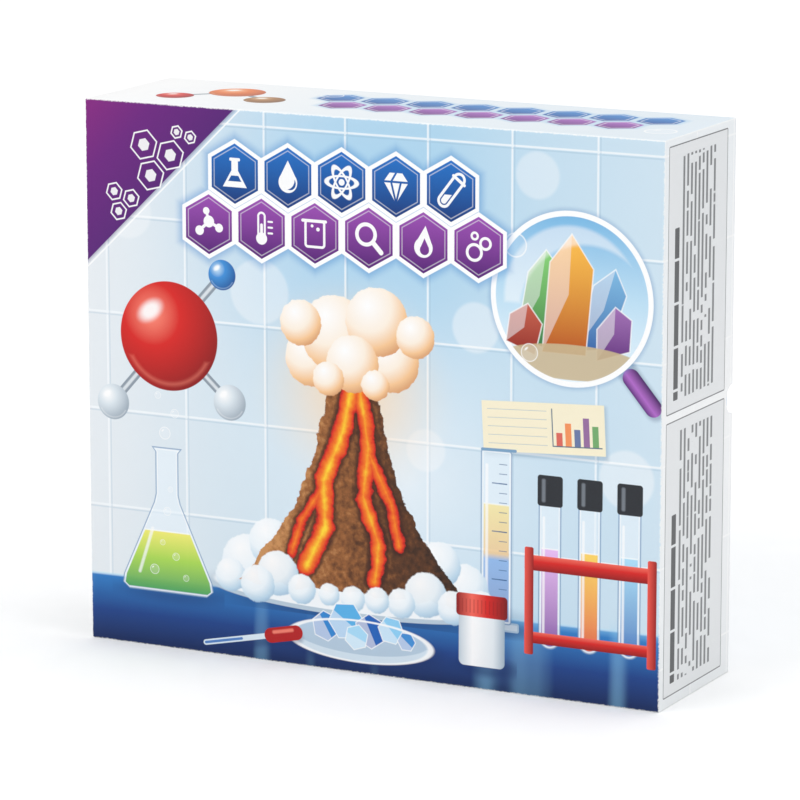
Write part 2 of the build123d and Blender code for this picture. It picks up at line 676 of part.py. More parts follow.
# ---------------------------------------------------------------- sample pots with screw caps
for number, well in enumerate(pot_wells, 1):
    pot_y = well.floor - SEAT - POT_CAP_RADIUS
    pot_ground = well.low + SEAT
    cap_bore = POT_CAP_RADIUS - POT_CAP_WALL
    with BuildPart() as sample_pot:
        with BuildSketch(upright(well.x, pot_y, pot_ground)):
            with BuildLine():
                Polyline((0, 0), (POT_RADIUS, 0), (POT_RADIUS, POT_HEIGHT),
                         (POT_RADIUS - POT_WALL, POT_HEIGHT), (POT_RADIUS - POT_WALL, POT_WALL),
                         (0, POT_WALL), (0, 0))
            make_face()
        revolve(axis=vertical(well.x, pot_y))
    save(sample_pot, f"sample_pot_{number}")

    with BuildPart() as sample_pot_cap:
        with BuildSketch(upright(well.x, pot_y, pot_ground + POT_TOTAL)):
            with BuildLine():
                Polyline((0, 0), (POT_CAP_RADIUS, 0), (POT_CAP_RADIUS, -POT_CAP_HEIGHT),
                         (cap_bore, -POT_CAP_HEIGHT), (cap_bore, -POT_CAP_WALL),
                         (0, -POT_CAP_WALL), (0, 0))
            make_face()
        revolve(axis=vertical(well.x, pot_y))
    save(sample_pot_cap, f"sample_pot_cap_{number}")

# ---------------------------------------------------------------- syringe
syringe_x = syringe_well.left + ROOM + NOZZLE_LENGTH  # front face of the barrel
syringe_z = flange_well.low + SEAT + FLANGE_LONG / 2
syringe_y = flange_well.floor - SEAT - FLANGE_SHORT / 2
syringe_plane = upright(syringe_x, syringe_y, syringe_z)
syringe_axis = Axis((0, syringe_y, syringe_z), (1, 0, 0))
barrel_bore = BARREL_RADIUS - BARREL_WALL
seal_front = BARREL_WALL + SEAT
seal_back = seal_front + SEAL_LENGTH
with BuildPart() as syringe_barrel:
    with BuildSketch(syringe_plane):
        with BuildLine():
            Polyline((-NOZZLE_LENGTH, NOZZLE_BORE), (-NOZZLE_LENGTH, NOZZLE_RADIUS),
                     (0, NOZZLE_RADIUS), (0, BARREL_RADIUS), (BARREL_LENGTH, BARREL_RADIUS),
                     (BARREL_LENGTH, barrel_bore), (BARREL_WALL, barrel_bore),
                     (BARREL_WALL, NOZZLE_BORE), (-NOZZLE_LENGTH, NOZZLE_BORE))
        make_face()
    revolve(axis=syringe_axis)
    with BuildSketch(Plane.YZ.offset(syringe_x + BARREL_LENGTH)):
        with Locations((syringe_y, syringe_z)):
            Circle(FLANGE_LONG / 2)
            Rectangle(FLANGE_SHORT, FLANGE_LONG, mode=Mode.INTERSECT)
            Circle(barrel_bore, mode=Mode.SUBTRACT)
    extrude(amount=-FLANGE)
save(syringe_barrel, "syringe_barrel")

with BuildPart() as syringe_seal:
    with BuildSketch(syringe_plane):
        with BuildLine():
            Polyline((seal_front, 0), (seal_front, barrel_bore - FIT),
                     (seal_back, barrel_bore - FIT), (seal_back, 0), (seal_front, 0))
        make_face()
    revolve(axis=syringe_axis)
save(syringe_seal, "syringe_seal")

web_length = BARREL_LENGTH + THUMB_STAND - seal_back
web_width = 2 * (barrel_bore - SEAT)
with BuildPart() as syringe_plunger:
    with Locations((syringe_x + seal_back + web_length / 2, syringe_y, syringe_z)):
        Box(web_length, PLUNGER_WEB, web_width)
        Box(web_length, web_width, PLUNGER_WEB)
    with BuildSketch(Plane.YZ.offset(syringe_x + seal_back)):
        with Locations((syringe_y, syringe_z)):
            Circle(web_width / 2)
    extrude(amount=THUMB)
    with BuildSketch(Plane.YZ.offset(syringe_x + BARREL_LENGTH + THUMB_STAND)):
        with Locations((syringe_y, syringe_z)):
            Circle(THUMB_RADIUS)
    extrude(amount=THUMB)
save(syringe_plunger, "syringe_plunger")

# ---------------------------------------------------------------- long tools
tweezer_start = (tweezer_well.left + ROOM, tweezer_well.floor - SEAT - TWEEZER_OPEN / 2
                 - TWEEZER_ARM, tweezer_well.low + SEAT)
widest = TWEEZER_WIDEST * TWEEZER_LENGTH
with BuildPart() as tweezers:
    with BuildSketch(Plane(tweezer_start)):
        with BuildLine():
            ThreePointArc((0, TWEEZER_ARM), (widest, TWEEZER_OPEN / 2 + TWEEZER_ARM),
                          (TWEEZER_LENGTH, TIP_GAP + TIP))
            Line((TWEEZER_LENGTH, TIP_GAP + TIP), (TWEEZER_LENGTH, TIP_GAP))
            ThreePointArc((TWEEZER_LENGTH, TIP_GAP), (widest, TWEEZER_OPEN / 2),
                          (TWEEZER_JOINED, 0))
            Polyline((TWEEZER_JOINED, 0), (0, 0), (0, TWEEZER_ARM))
        make_face()
        mirror(about=Plane.XZ)
    extrude(amount=TWEEZER_WIDTH)
    # seen from the front, the arms narrow to the tips
    with BuildSketch(upright(*tweezer_start)):
        with BuildLine():
            Polyline((0, 0), (TWEEZER_LENGTH, 0), (TWEEZER_LENGTH, TIP_WIDTH),
                     (widest, TWEEZER_WIDTH), (0, TWEEZER_WIDTH), (0, 0))
        make_face()
    extrude(amount=TWEEZER_OPEN + TWEEZER_ARM, both=True, mode=Mode.INTERSECT)
save(tweezers, "tweezers")

with BuildPart() as stirring_rod:
    with Locations((rod_well.x, rod_well.floor - SEAT - ROD_RADIUS,
                    rod_well.low + SEAT + ROD_RADIUS)):
        Cylinder(ROD_RADIUS, ROD_LENGTH, rotation=(0, 90, 0))
save(stirring_rod, "stirring_rod")

spoon_left = spoon_well.left + ROOM
bowl_x = spoon_left + SPOON_LENGTH - SPOON_RADIUS
spoon_z = spoon_well.low + SEAT + SPOON_RADIUS
spoon_back = spoon_well.floor - SEAT
spoon_face = spoon_back - SPOON_DEPTH
with BuildPart() as measuring_spoon:
    # a scoop at one end, a flat blade at the other and a bar between them
    with BuildSketch(facing(spoon_face + SPOON_SHEET)):
        with Locations(((spoon_left + bowl_x) / 2, spoon_z)):
            Rectangle(bowl_x - spoon_left, SPOON_HANDLE)
        with Locations((spoon_left + BLADE_LENGTH / 2, spoon_z)):
            Rectangle(BLADE_LENGTH, BLADE_WIDTH)
    extrude(amount=SPOON_SHEET)
    with BuildSketch(facing(spoon_back)):
        with Locations((bowl_x, spoon_z)):
            Circle(SPOON_RADIUS)
    extrude(amount=SPOON_DEPTH)
    with BuildSketch(facing(spoon_back - SPOON_SHEET)):
        with Locations((bowl_x, spoon_z)):
            Circle(SPOON_RADIUS - SPOON_SHEET)
    extrude(amount=SPOON_DEPTH - SPOON_SHEET, mode=Mode.SUBTRACT)
save(measuring_spoon, "measuring_spoon")

dropper_y = dropper_well.floor - SEAT - BULB_RADIUS
bulb_start = DROPPER_LENGTH - BULB_LENGTH
bulb_middle = DROPPER_LENGTH - BULB_LENGTH / 2
dropper_bore = STEM_TIP_RADIUS - DROPPER_WALL
with BuildPart() as dropper:
    with BuildSketch(upright(dropper_well.x, dropper_y, dropper_well.low + SEAT)):
        with BuildLine():
            Polyline((dropper_bore, 0), (STEM_TIP_RADIUS, 0), (STEM_TIP_RADIUS, STEM_TIP_LENGTH),
                     (STEM_RADIUS, STEM_TIP_LENGTH + STEM_SHOULDER),
                     (STEM_RADIUS, bulb_start), (BULB_RADIUS, bulb_start),
                     (BULB_RADIUS, DROPPER_LENGTH), (0, DROPPER_LENGTH), (0, bulb_middle),
                     (dropper_bore, bulb_middle), (dropper_bore, 0))
        make_face()
    revolve(axis=vertical(dropper_well.x, dropper_y))
save(dropper, "dropper")

# ---------------------------------------------------------------- goggles
goggle_x = goggle_well.x
goggle_z = goggle_well.low + SEAT + GOGGLE_HEIGHT / 2
strap_back = goggle_well.floor - SEAT
goggle_face = strap_back - GOGGLE_DEPTH - STRAP_BEND
temple_y = goggle_face + GOGGLE_DEPTH * STRAP_AT


def goggle_block(inset, y_low, y_high):
    """The wide mask outline with its nose arch, drawn in by a margin, between two depths."""
    with BuildPart() as solid:
        with BuildSketch(facing(y_high)) as outline:
            with Locations((goggle_x, goggle_z)):
                RectangleRounded(GOGGLE_WIDTH - 2 * inset, GOGGLE_HEIGHT - 2 * inset,
                                 GOGGLE_CORNER - inset)
            with Locations((goggle_x, goggle_z - GOGGLE_HEIGHT / 2 + NOSE_RISE - NOSE_RADIUS)):
                Circle(NOSE_RADIUS + inset, mode=Mode.SUBTRACT)
            nose = [vertex for vertex in outline.vertices().group_by(Axis.Y)[0]
                    if abs(vertex.X - goggle_x) < 2 * NOSE_RADIUS]
            fillet(nose, NOSE_FILLET)
        extrude(amount=y_high - y_low)
    return solid.part


goggle_outside = goggle_block(0, goggle_face, goggle_face + GOGGLE_DEPTH)
goggle_inside = goggle_block(GOGGLE_WALL, goggle_face, goggle_face + GOGGLE_DEPTH)
lens_block = goggle_block(GOGGLE_WALL + LENS_CLEARANCE, goggle_face, goggle_face + LENS)

with BuildPart() as goggles_frame:
    add(goggle_outside)
    add(goggle_inside, mode=Mode.SUBTRACT)
    # the edge that meets the face is hollowed across its width
    with Locations((goggle_x, goggle_face + GOGGLE_DEPTH + FACE_CURVE - FACE_HOLLOW, goggle_z)):
        Cylinder(FACE_CURVE, 2 * GOGGLE_HEIGHT, mode=Mode.SUBTRACT)
save(goggles_frame, "goggles_frame")

with BuildPart() as goggles_lens:
    add(lens_block)
save(goggles_lens, "goggles_lens")

with BuildPart() as goggles_vents:
    with Locations((goggle_x, goggle_face + GOGGLE_DEPTH * VENT_AT,
                    goggle_z + GOGGLE_HEIGHT / 2 + VENT_HEIGHT / 2)):
        with GridLocations(2 * VENT_SPREAD, 0, 2, 1):
            Box(VENT_LENGTH, VENT_WIDTH, VENT_HEIGHT)
save(goggles_vents, "goggles_vents")

clip_x = GOGGLE_WIDTH / 2 + CLIP / 2
with BuildPart() as goggles_clips:
    with Locations((goggle_x - clip_x, temple_y, goggle_z), (goggle_x + clip_x, temple_y, goggle_z)):
        Box(CLIP, CLIP_LENGTH, STRAP_WIDTH + 2 * CLIP_EDGE)
    with Locations((goggle_x - clip_x, temple_y + CLIP_LENGTH / 4, goggle_z),
                   (goggle_x + clip_x, temple_y + CLIP_LENGTH / 4, goggle_z)):
        Box(STRAP + 2 * TAB_CLEARANCE, CLIP_LENGTH / 2, STRAP_WIDTH + 2 * TAB_CLEARANCE,
            mode=Mode.SUBTRACT)
save(goggles_clips, "goggles_clips")

strap_out = clip_x + STRAP / 2
strap_in = clip_x - STRAP / 2
strap_end = temple_y + TAB_CLEARANCE
with BuildPart() as goggles_strap:
    with BuildSketch(Plane((goggle_x, 0, goggle_z - STRAP_WIDTH / 2))):
        with BuildLine():
            FilletPolyline((-strap_out, strap_end), (-strap_out, strap_back),
                           (strap_out, strap_back), (strap_out, strap_end), radius=STRAP_BEND)
            Line((strap_out, strap_end), (strap_in, strap_end))
            FilletPolyline((strap_in, strap_end), (strap_in, strap_back - STRAP),
                           (-strap_in, strap_back - STRAP), (-strap_in, strap_end),
                           radius=STRAP_BEND - STRAP)
            Line((-strap_in, strap_end), (-strap_out, strap_end))
        make_face()
    extrude(amount=STRAP_WIDTH)
save(goggles_strap, "goggles_strap")

# ---------------------------------------------------------------- balloons, not blown up
balloon_low = balloon_well.low + SEAT
for number in range(1, BALLOONS + 1):
    balloon_x = balloon_well.left + number * ROOM + (2 * number - 1) * BALLOON_RADIUS
    with BuildPart() as balloon:
        with BuildSketch(facing(balloon_well.floor - SEAT)):
            with Locations((balloon_x, balloon_low + BALLOON_LENGTH - BALLOON_RADIUS)):
                Circle(BALLOON_RADIUS)
            with Locations((balloon_x, balloon_low + BALLOON_MOUTH)):
                Circle(BALLOON_NECK)
            make_hull()
            with Locations((balloon_x, balloon_low + BALLOON_MOUTH / 2)):
                Rectangle(2 * BALLOON_NECK, BALLOON_MOUTH)
        extrude(amount=BALLOON_THICK)
    save(balloon, f"balloon_{number}")

print(f"case {CASE_WIDTH:.2f} x {CASE_DEPTH:.2f} x {CASE_HEIGHT:.2f}")
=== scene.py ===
"""The looks of a boxed chemistry set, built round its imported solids.

Metres, in the frame of the solids: +X right, -Y out of the printed panel, +Z up. The prints are
worked out by maths nodes from distances to their drawn shapes, in millimetres on each face. The
paper wraps and the round pieces are surfaces on a grid of two parameters. The other pieces are
copies of their solids with joined faces and small rounds, or the solids with a finish of their own.
"""

import json
from functools import cached_property, lru_cache, reduce

import bmesh
import bpy
import numpy as np
from mathutils import Matrix, Vector

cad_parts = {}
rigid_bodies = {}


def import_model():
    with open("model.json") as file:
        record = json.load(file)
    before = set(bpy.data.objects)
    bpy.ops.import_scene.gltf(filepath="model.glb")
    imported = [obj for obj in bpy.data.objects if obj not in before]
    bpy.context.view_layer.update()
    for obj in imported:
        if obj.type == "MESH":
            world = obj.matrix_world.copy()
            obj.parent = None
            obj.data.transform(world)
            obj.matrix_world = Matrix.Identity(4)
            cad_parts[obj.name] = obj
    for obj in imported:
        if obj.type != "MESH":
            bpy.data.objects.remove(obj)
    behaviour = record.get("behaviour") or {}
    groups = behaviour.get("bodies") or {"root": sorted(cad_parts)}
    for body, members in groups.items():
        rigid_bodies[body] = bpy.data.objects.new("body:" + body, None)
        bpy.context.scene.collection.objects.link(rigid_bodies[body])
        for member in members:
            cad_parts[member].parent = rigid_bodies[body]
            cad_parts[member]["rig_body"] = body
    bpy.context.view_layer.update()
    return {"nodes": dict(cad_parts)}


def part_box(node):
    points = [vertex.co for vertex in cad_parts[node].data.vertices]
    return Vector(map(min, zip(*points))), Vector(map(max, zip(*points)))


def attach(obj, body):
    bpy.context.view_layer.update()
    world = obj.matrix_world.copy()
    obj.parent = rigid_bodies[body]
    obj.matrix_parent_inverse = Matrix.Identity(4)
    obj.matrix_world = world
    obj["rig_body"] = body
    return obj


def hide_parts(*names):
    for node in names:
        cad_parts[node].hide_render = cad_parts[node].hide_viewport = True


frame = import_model()
nodes = frame["nodes"]
MM = 0.001


# ---------------------------------------------------------------- colours, fields and finishes
def ink(code):
    """A colour written as six hexadecimal digits, as the linear numbers that the nodes use."""
    parts = np.array([int(code[i:i + 2], 16) for i in (1, 3, 5)]) / 255
    linear = np.where(parts <= 0.04045, parts / 12.92, ((parts + 0.055) / 1.055) ** 2.4)
    return (*linear.tolist(), 1.0)


WHITE = ink("#ffffff")


class Field:
    """A number at each point of a surface. Its sums are done by the finish's maths nodes."""

    def __init__(self, finish, socket):
        self.finish, self.socket = finish, socket

    def __add__(self, other):
        return self.finish.sum("ADD", self, other)

    def __sub__(self, other):
        return self.finish.sum("SUBTRACT", self, other)

    def __rsub__(self, other):
        return self.finish.sum("SUBTRACT", other, self)

    def __mul__(self, other):
        return self.finish.sum("MULTIPLY", self, other)

    def __neg__(self):
        return self.finish.sum("MULTIPLY", self, -1.0)

    def __abs__(self):
        return self.finish.sum("ABSOLUTE", self)

    def least(self, other):
        """The smaller of two numbers. Of two shapes' distances it is their union."""
        return self.finish.sum("MINIMUM", self, other)

    def most(self, other):
        """The larger of two numbers. Of two shapes' distances it is what they share."""
        return self.finish.sum("MAXIMUM", self, other)

    def fold(self, reach):
        """The distance to the nearest of a row of lines that stand twice reach apart."""
        return self.finish.sum("PINGPONG", self, reach)

    def line(self, half_width):
        """The distance to a line drawn along this shape's edge."""
        return abs(self) - half_width

    __radd__, __rmul__ = __add__, __mul__


class Layer:
    """A node tree under the brush: its colour grows as one shape after another is painted."""

    def __init__(self, tree, colour):
        self.tree, self.colour = tree, colour

    def node(self, kind, *values, out=0, **settings):
        """Adds a node, with numbers, colours, fields or sockets for its inputs in order."""
        made = self.tree.nodes.new("ShaderNode" + kind)
        for key, value in settings.items():
            setattr(made, key, value)
        for socket, value in zip(made.inputs, values):
            self.join(value, socket)
        return made.outputs[out]

    def join(self, value, socket):
        """Links a field or a socket to an input, or writes a number or a colour on it."""
        if isinstance(value, Field):
            value = value.socket
        if isinstance(value, bpy.types.NodeSocket):
            self.tree.links.new(value, socket)
        elif value is not None:
            socket.default_value = value

    def sum(self, operation, *values):
        """A maths node's result as a field."""
        return Field(self, self.node("Math", *values, operation=operation))

    def vector(self, operation, *values):
        """A vector maths node's result."""
        return self.node("VectorMath", *values, operation=operation)

    def length(self, operation, *values):
        """A vector sum whose result is a number: a length, a distance or a dot product."""
        return Field(self, self.node("VectorMath", *values, out=1, operation=operation))

    def place(self, location=(0, 0, 0), turn=(0, 0, 0), scale=(1, 1, 1)):
        """The Object coordinates seen from a spot in metres that is turned and scaled."""
        start = self.node("TexCoord", out=3)
        return self.node("Mapping", start, location, turn, scale, vector_type="TEXTURE")

    def span(self, field, low, high, start=0.0, end=1.0):
        """A number that runs smoothly from start to end as the field goes from low to high. The
        node's own clamp stays off: smooth steps hold their ends, and the clamp would make the
        renderer keep every mask of a long print at once."""
        return Field(self, self.node("MapRange", field, low, high, start, end, clamp=False,
                                     interpolation_type="SMOOTHSTEP"))

    def ramp(self, field, *stops):
        """A colour that runs through stops of (place from 0 to 1, colour)."""
        made = self.tree.nodes.new("ShaderNodeValToRGB")
        self.join(field, made.inputs[0])
        elements = made.color_ramp.elements
        while len(elements) < len(stops):
            elements.new(1.0)
        for element, (place, colour) in zip(elements, stops):
            element.position = place
            element.color = colour
        return made.outputs[0]

    def blend(self, share, first, second):
        """The first colour where the share is 0, and the second where it is 1."""
        made = self.tree.nodes.new("ShaderNodeMix")
        made.data_type = "RGBA"
        for socket, value in zip((made.inputs[0], made.inputs[6], made.inputs[7]),
                                 (share, first, second)):
            self.join(value, socket)
        return made.outputs[2]

    def paint(self, colour, shape, edge=0.12, strength=1.0):
        """Lays a colour over what is there, inside a shape, with an edge this soft."""
        share = self.span(shape, -edge, edge, strength, 0.0)
        self.colour = self.blend(share, self.colour, colour)

    def noise(self, scale, detail=2.0, roughness=0.5, stretch=(1, 1, 1), seed=0.0):
        """Noise of a scale per metre on the Object coordinates, stretched along each axis."""
        where = self.place((seed, seed, seed), scale=stretch)
        return Field(self, self.node("TexNoise", where, None, scale, detail, roughness))


class Finish(Layer):
    """A material, painted in its own tree and in the groups of its motifs."""

    def __init__(self, name, colour=WHITE, **inputs):
        self.material = bpy.data.materials.new(name)
        self.material.use_nodes = True
        super().__init__(self.material.node_tree, colour)
        self.shader = self.tree.nodes["Principled BSDF"]
        for key, value in inputs.items():
            self.shader.inputs[key.replace("_", " ")].default_value = value

    def relief(self, height, distance, strength=1.0):
        """Bump from a height between 0 and 1, this many metres deep."""
        made = self.tree.nodes.new("ShaderNodeBump")
        made.inputs["Strength"].default_value = strength
        made.inputs["Distance"].default_value = distance
        self.tree.links.new(height.socket, made.inputs["Height"])
        self.tree.links.new(made.outputs[0], self.shader.inputs["Normal"])

    def feed(self, name, value):
        """Gives one of the shader's inputs what changes over the surface."""
        self.join(value, self.shader.inputs[name])

    def done(self):
        """Hands the painted colour to the shader and gives the material."""
        self.join(self.colour, self.shader.inputs["Base Color"])
        return self.material


def motif(draw):
    """Makes a drawing a node group of its own, which takes the place and the colour under it.
    The group is made once, and every print that shows the drawing uses it."""
    @lru_cache
    def group():
        tree = bpy.data.node_groups.new(draw.__name__, "ShaderNodeTree")
        for name, way, kind in (("Place", "INPUT", "Vector"), ("Under", "INPUT", "Color"),
                                ("Colour", "OUTPUT", "Color")):
            tree.interface.new_socket(name=name, in_out=way, socket_type="NodeSocket" + kind)
        given = tree.nodes.new("NodeGroupInput")
        layer = Layer(tree, given.outputs["Under"])
        draw(Brush(layer, given.outputs["Place"]))
        tree.links.new(layer.colour, tree.nodes.new("NodeGroupOutput").inputs["Colour"])
        return tree

    def drawn(brush):
        under = brush.finish
        made = under.tree.nodes.new("ShaderNodeGroup")
        made.node_tree = group()
        under.join(brush.vector, made.inputs["Place"])
        under.join(under.colour, made.inputs["Under"])
        under.colour = made.outputs["Colour"]
    return drawn


# ---------------------------------------------------------------- drawn shapes, in millimetres
SIN_60 = 0.866


class Brush:
    """A spot on a printed face, from which shapes are drawn. Shapes are distances in
    millimetres to an outline, negative inside it."""

    def __init__(self, finish, vector):
        self.finish, self.vector = finish, vector

    @cached_property
    def u(self):
        """How far to the right."""
        return self.finish.length("DOT_PRODUCT", self.vector, (1, 0, 0))

    @cached_property
    def v(self):
        """How far up."""
        return self.finish.length("DOT_PRODUCT", self.vector, (0, 1, 0))

    def moved(self, x, y, turn=0.0):
        """The place seen from a spot and turned by degrees."""
        finish = self.finish
        offset = finish.vector("SUBTRACT", self.vector, (x, y, 0))
        if not turn:
            return offset
        cosine = float(np.cos(np.radians(turn)))
        sine = float(np.sin(np.radians(turn)))
        across = finish.length("DOT_PRODUCT", offset, (cosine, sine, 0))
        up = finish.length("DOT_PRODUCT", offset, (-sine, cosine, 0))
        return finish.node("CombineXYZ", across, up)

    def at(self, x, y, turn=0.0):
        """Another brush, moved to a spot and turned by degrees."""
        return Brush(self.finish, self.moved(x, y, turn))

    def far(self, x, y):
        """The distance from a spot."""
        return self.finish.length("DISTANCE", self.vector, (x, y, 0))

    def disc(self, x, y, radius):
        """A round of this radius about a spot."""
        return self.far(x, y) - radius

    def oval(self, x, y, wide, high, turn=0.0):
        """The distance to an oval with these half sizes, scaled by the smaller."""
        squeezed = self.finish.vector("DIVIDE", self.moved(x, y, turn), (wide, high, 1))
        return (self.finish.length("LENGTH", squeezed) - 1.0) * min(wide, high)

    def block(self, x0, x1, y0, y1, radius=0.0):
        """A rectangle with rounded corners between two pairs of sides."""
        centre = ((x0 + x1) / 2, (y0 + y1) / 2, 0)
        half = ((x1 - x0) / 2 - radius, (y1 - y0) / 2 - radius, 0)
        finish = self.finish
        offset = finish.vector("ABSOLUTE", finish.vector("SUBTRACT", self.vector, centre))
        offset = finish.vector("SUBTRACT", offset, half)
        if not radius:
            return (finish.length("DOT_PRODUCT", offset, (1, 0, 0))
                    .most(finish.length("DOT_PRODUCT", offset, (0, 1, 0))))
        return finish.length("LENGTH", finish.vector("MAXIMUM", offset, (0, 0, 0))) - radius

    def bar(self, start, end, radius):
        """A stroke with round ends between two spots."""
        finish = self.finish
        along = np.subtract(end, start)
        offset = finish.vector("SUBTRACT", self.vector, (*start, 0))
        share = finish.length("DOT_PRODUCT", offset, (*(along / (along @ along)).tolist(), 0))
        share = share.most(0.0).least(1.0)
        foot = finish.tree.nodes.new("ShaderNodeVectorMath")
        foot.operation = "SCALE"
        foot.inputs[0].default_value = (*along.tolist(), 0)
        finish.tree.links.new(share.socket, foot.inputs["Scale"])
        return finish.length("DISTANCE", offset, foot.outputs[0]) - radius

    def bars(self, radius, *spots):
        """A stroke through several spots."""
        return reduce(Field.least, (self.bar(a, b, radius) for a, b in zip(spots, spots[1:])))

    def beyond(self, start, end):
        """How far to the right of the line from one spot to another."""
        along = np.subtract(end, start) / np.hypot(*np.subtract(end, start))
        outward = (float(along[1]), float(-along[0]))
        return (self.finish.length("DOT_PRODUCT", self.vector, (*outward, 0))
                - (outward[0] * start[0] + outward[1] * start[1]))

    def facet(self, *spots):
        """A convex outline through spots given anticlockwise."""
        return reduce(Field.most, (self.beyond(a, b) for a, b in zip(spots, spots[1:] + spots[:1])))

    def vase(self, height, *profile, smooth=False):
        """A shape with the same half width on both sides, through points of (height, half
        width), both as shares of its height."""
        made = self.finish.tree.nodes.new("ShaderNodeFloatCurve")
        curve = made.mapping.curves[0]
        while len(curve.points) < len(profile):
            curve.points.new(0.5, 0.5)
        for point, (up, wide) in zip(curve.points, profile):
            point.location = (up, wide)
            point.handle_type = "AUTO" if smooth else "VECTOR"
        made.mapping.update()
        self.finish.join(self.v * (1 / height), made.inputs["Value"])
        half = Field(self.finish, made.outputs[0]) * height
        return (abs(self.u) - half).most(-self.v).most(self.v - height)

    def hexagon(self, reach, across=None):
        """A hexagon that stands on a corner, reach from its centre to a side: two sides lie
        across, and the others 60 degrees from them."""
        across = abs(self.u) if across is None else across
        return across.most(across * 0.5 + abs(self.v) * SIN_60) - reach

    def cell_row(self, left, row, count, pitch, reach):
        """A row of hexagons a pitch apart, the first at left. The way across is folded, so that
        one hexagon draws them all."""
        half_row = pitch * (count - 1) / 2
        local = self.at(left + half_row, row)
        across = (local.u + half_row).fold(pitch / 2).most(abs(local.u) - half_row)
        return local.hexagon(reach, across)


def ball(brush, x, y, radius, dark, mid, light):
    """A glossy ball: its colour runs out from a light spot, with a lit rim below."""
    finish = brush.finish
    lit = brush.far(x - radius * 0.35, y + radius * 0.38) * (1 / (1.65 * radius))
    shade = finish.ramp(lit, (0.0, light), (0.35, mid), (1.0, dark))
    finish.paint(shade, brush.disc(x, y, radius), 0.25)
    rim = abs(brush.disc(x, y, radius * 0.88)).most(brush.v - (y - radius * 0.45))
    finish.paint(light, rim - radius * 0.03, radius * 0.05, 0.35)
    finish.paint(WHITE, brush.oval(x - radius * 0.38, y + radius * 0.44, radius * 0.24,
                                   radius * 0.15, 35), radius * 0.08, 0.9)


def bubble(brush, x, y, radius, strength=0.8):
    """A thin pale ring with a glint."""
    finish = brush.finish
    disc = brush.disc(x, y, radius)
    finish.paint(WHITE, disc, 0.3, 0.16 * strength)
    finish.paint(WHITE, disc.line(radius * 0.05), radius * 0.07, strength)
    finish.paint(WHITE, brush.oval(x - radius * 0.4, y + radius * 0.42, radius * 0.26,
                                   radius * 0.12, 42), radius * 0.07, strength)


def puff(brush, x, y, radius, fine, shades, lift, edge, strength=1.0):
    """One round of mist or foam with a rough outline. Its shades run out from a spot a share,
    lift, of the radius below its middle."""
    finish = brush.finish
    far = brush.far(x - radius * 0.3, y + radius * lift) * (1 / (1.7 * radius))
    finish.paint(finish.ramp(far, *shades), brush.disc(x, y, radius) + (fine - 0.5) * 2, edge,
                 strength)


GLASS_WALL = 0.9


def glassware(brush, outline, level, liquid):
    """See-through glass with a liquid up to a level, a dark line round it and a bright edge."""
    finish = brush.finish
    finish.paint(ink("#eaf5fd"), outline, 0.3, 0.6)
    inside = outline + GLASS_WALL * 1.6
    finish.paint(liquid, inside.most(brush.v - level), 0.25, 0.93)
    finish.paint(WHITE, inside.most(abs(brush.v - level) - 0.35), 0.3, 0.75)
    finish.paint(ink("#5f88b4"), outline.line(0.35 * GLASS_WALL), 0.25, 0.75)
    finish.paint(WHITE, (outline + GLASS_WALL).line(0.3 * GLASS_WALL), 0.25, 0.6)


# ---------------------------------------------------------------- the case's places, in millimetres
WIDTH, HEIGHT = 330.0, 290.0
HALF_WIDTH, MIDDLE = WIDTH / 2, HEIGHT / 2
FRONT, BACK = -45.0, 45.0
DEPTH = BACK - FRONT
BOARD, PAPER = 2.0, 0.3  # how thick they are
TURN_IN = 15.0  # how far the paper goes back inside from the rim
LID_RIM, BASE_RIM = 44.0, -42.2  # where the two open rims lie on Y
BASE_INSET = 3.2  # from the lid's outside to the base's
NOTCH_RADIUS = 7.7

# Where each printed face lies and how its brush is turned: across to the right, up, out of it
FACES = {
    "front": ((0, FRONT, 0), (90, 0, 0)),
    "top": ((0, FRONT, HEIGHT), (0, 0, 0)),
    "bottom": ((0, BACK, 0), (180, 0, 0)),
    "right": ((HALF_WIDTH, FRONT, 0), (90, 0, 90)),
    "left": ((-HALF_WIDTH, BACK, 0), (90, 0, -90)),
    "back": ((0, BACK, 0), (90, 0, 180)),
}


def face_brush(finish, face):
    """A brush on a face of the case, in millimetres from the face's origin."""
    spot, turn = FACES[face]
    return Brush(finish, finish.place(tuple(MM * c for c in spot),
                                      tuple(np.radians(turn).tolist()), (MM, MM, MM)))


# ---------------------------------------------------------------- the print's colours
DEEP_BLUE = ink("#0a4f9c")
BENCH_BLUE = ink("#123f86")
SKY_BLUE = ink("#7cc3ec")
SHADOW = ink("#0b2a63")
PURPLE = ink("#7b2f93")
RED = ink("#d8201c")
DARK_RED = ink("#7a0d10")
SHADED_RED = ink("#8f1012")
LIT_RED = ink("#f4695a")
PINK = ink("#ff8d78")
ORANGE = ink("#f47a1b")
YELLOW = ink("#ffd733")
BALL_GREY, BALL_PALE = ink("#8898a8"), ink("#dbe5ec")
SCALE_BLUE = ink("#2f5f92")
CREAM = ink("#f8efd2")
JOINT = ink("#f6fafd")
CAP_BLACK = ink("#2a2d33")
MIST = ((0.0, WHITE), (0.5, ink("#eef6fb")), (0.8, ink("#bcd7ea")), (1.0, ink("#86afce")))
FOAM = ((0.0, WHITE), (0.45, ink("#fdf0e0")), (0.72, ink("#f6c795")), (1.0, ink("#c97f4f")))

TILE_WIDE, TILE_HIGH = 47.0, 52.0


def joints(brush, across=12.0, up=30.0):
    """The distance to the nearest joint line of the tiled wall."""
    return (brush.u + across).fold(TILE_WIDE / 2).least((brush.v + up).fold(TILE_HIGH / 2))


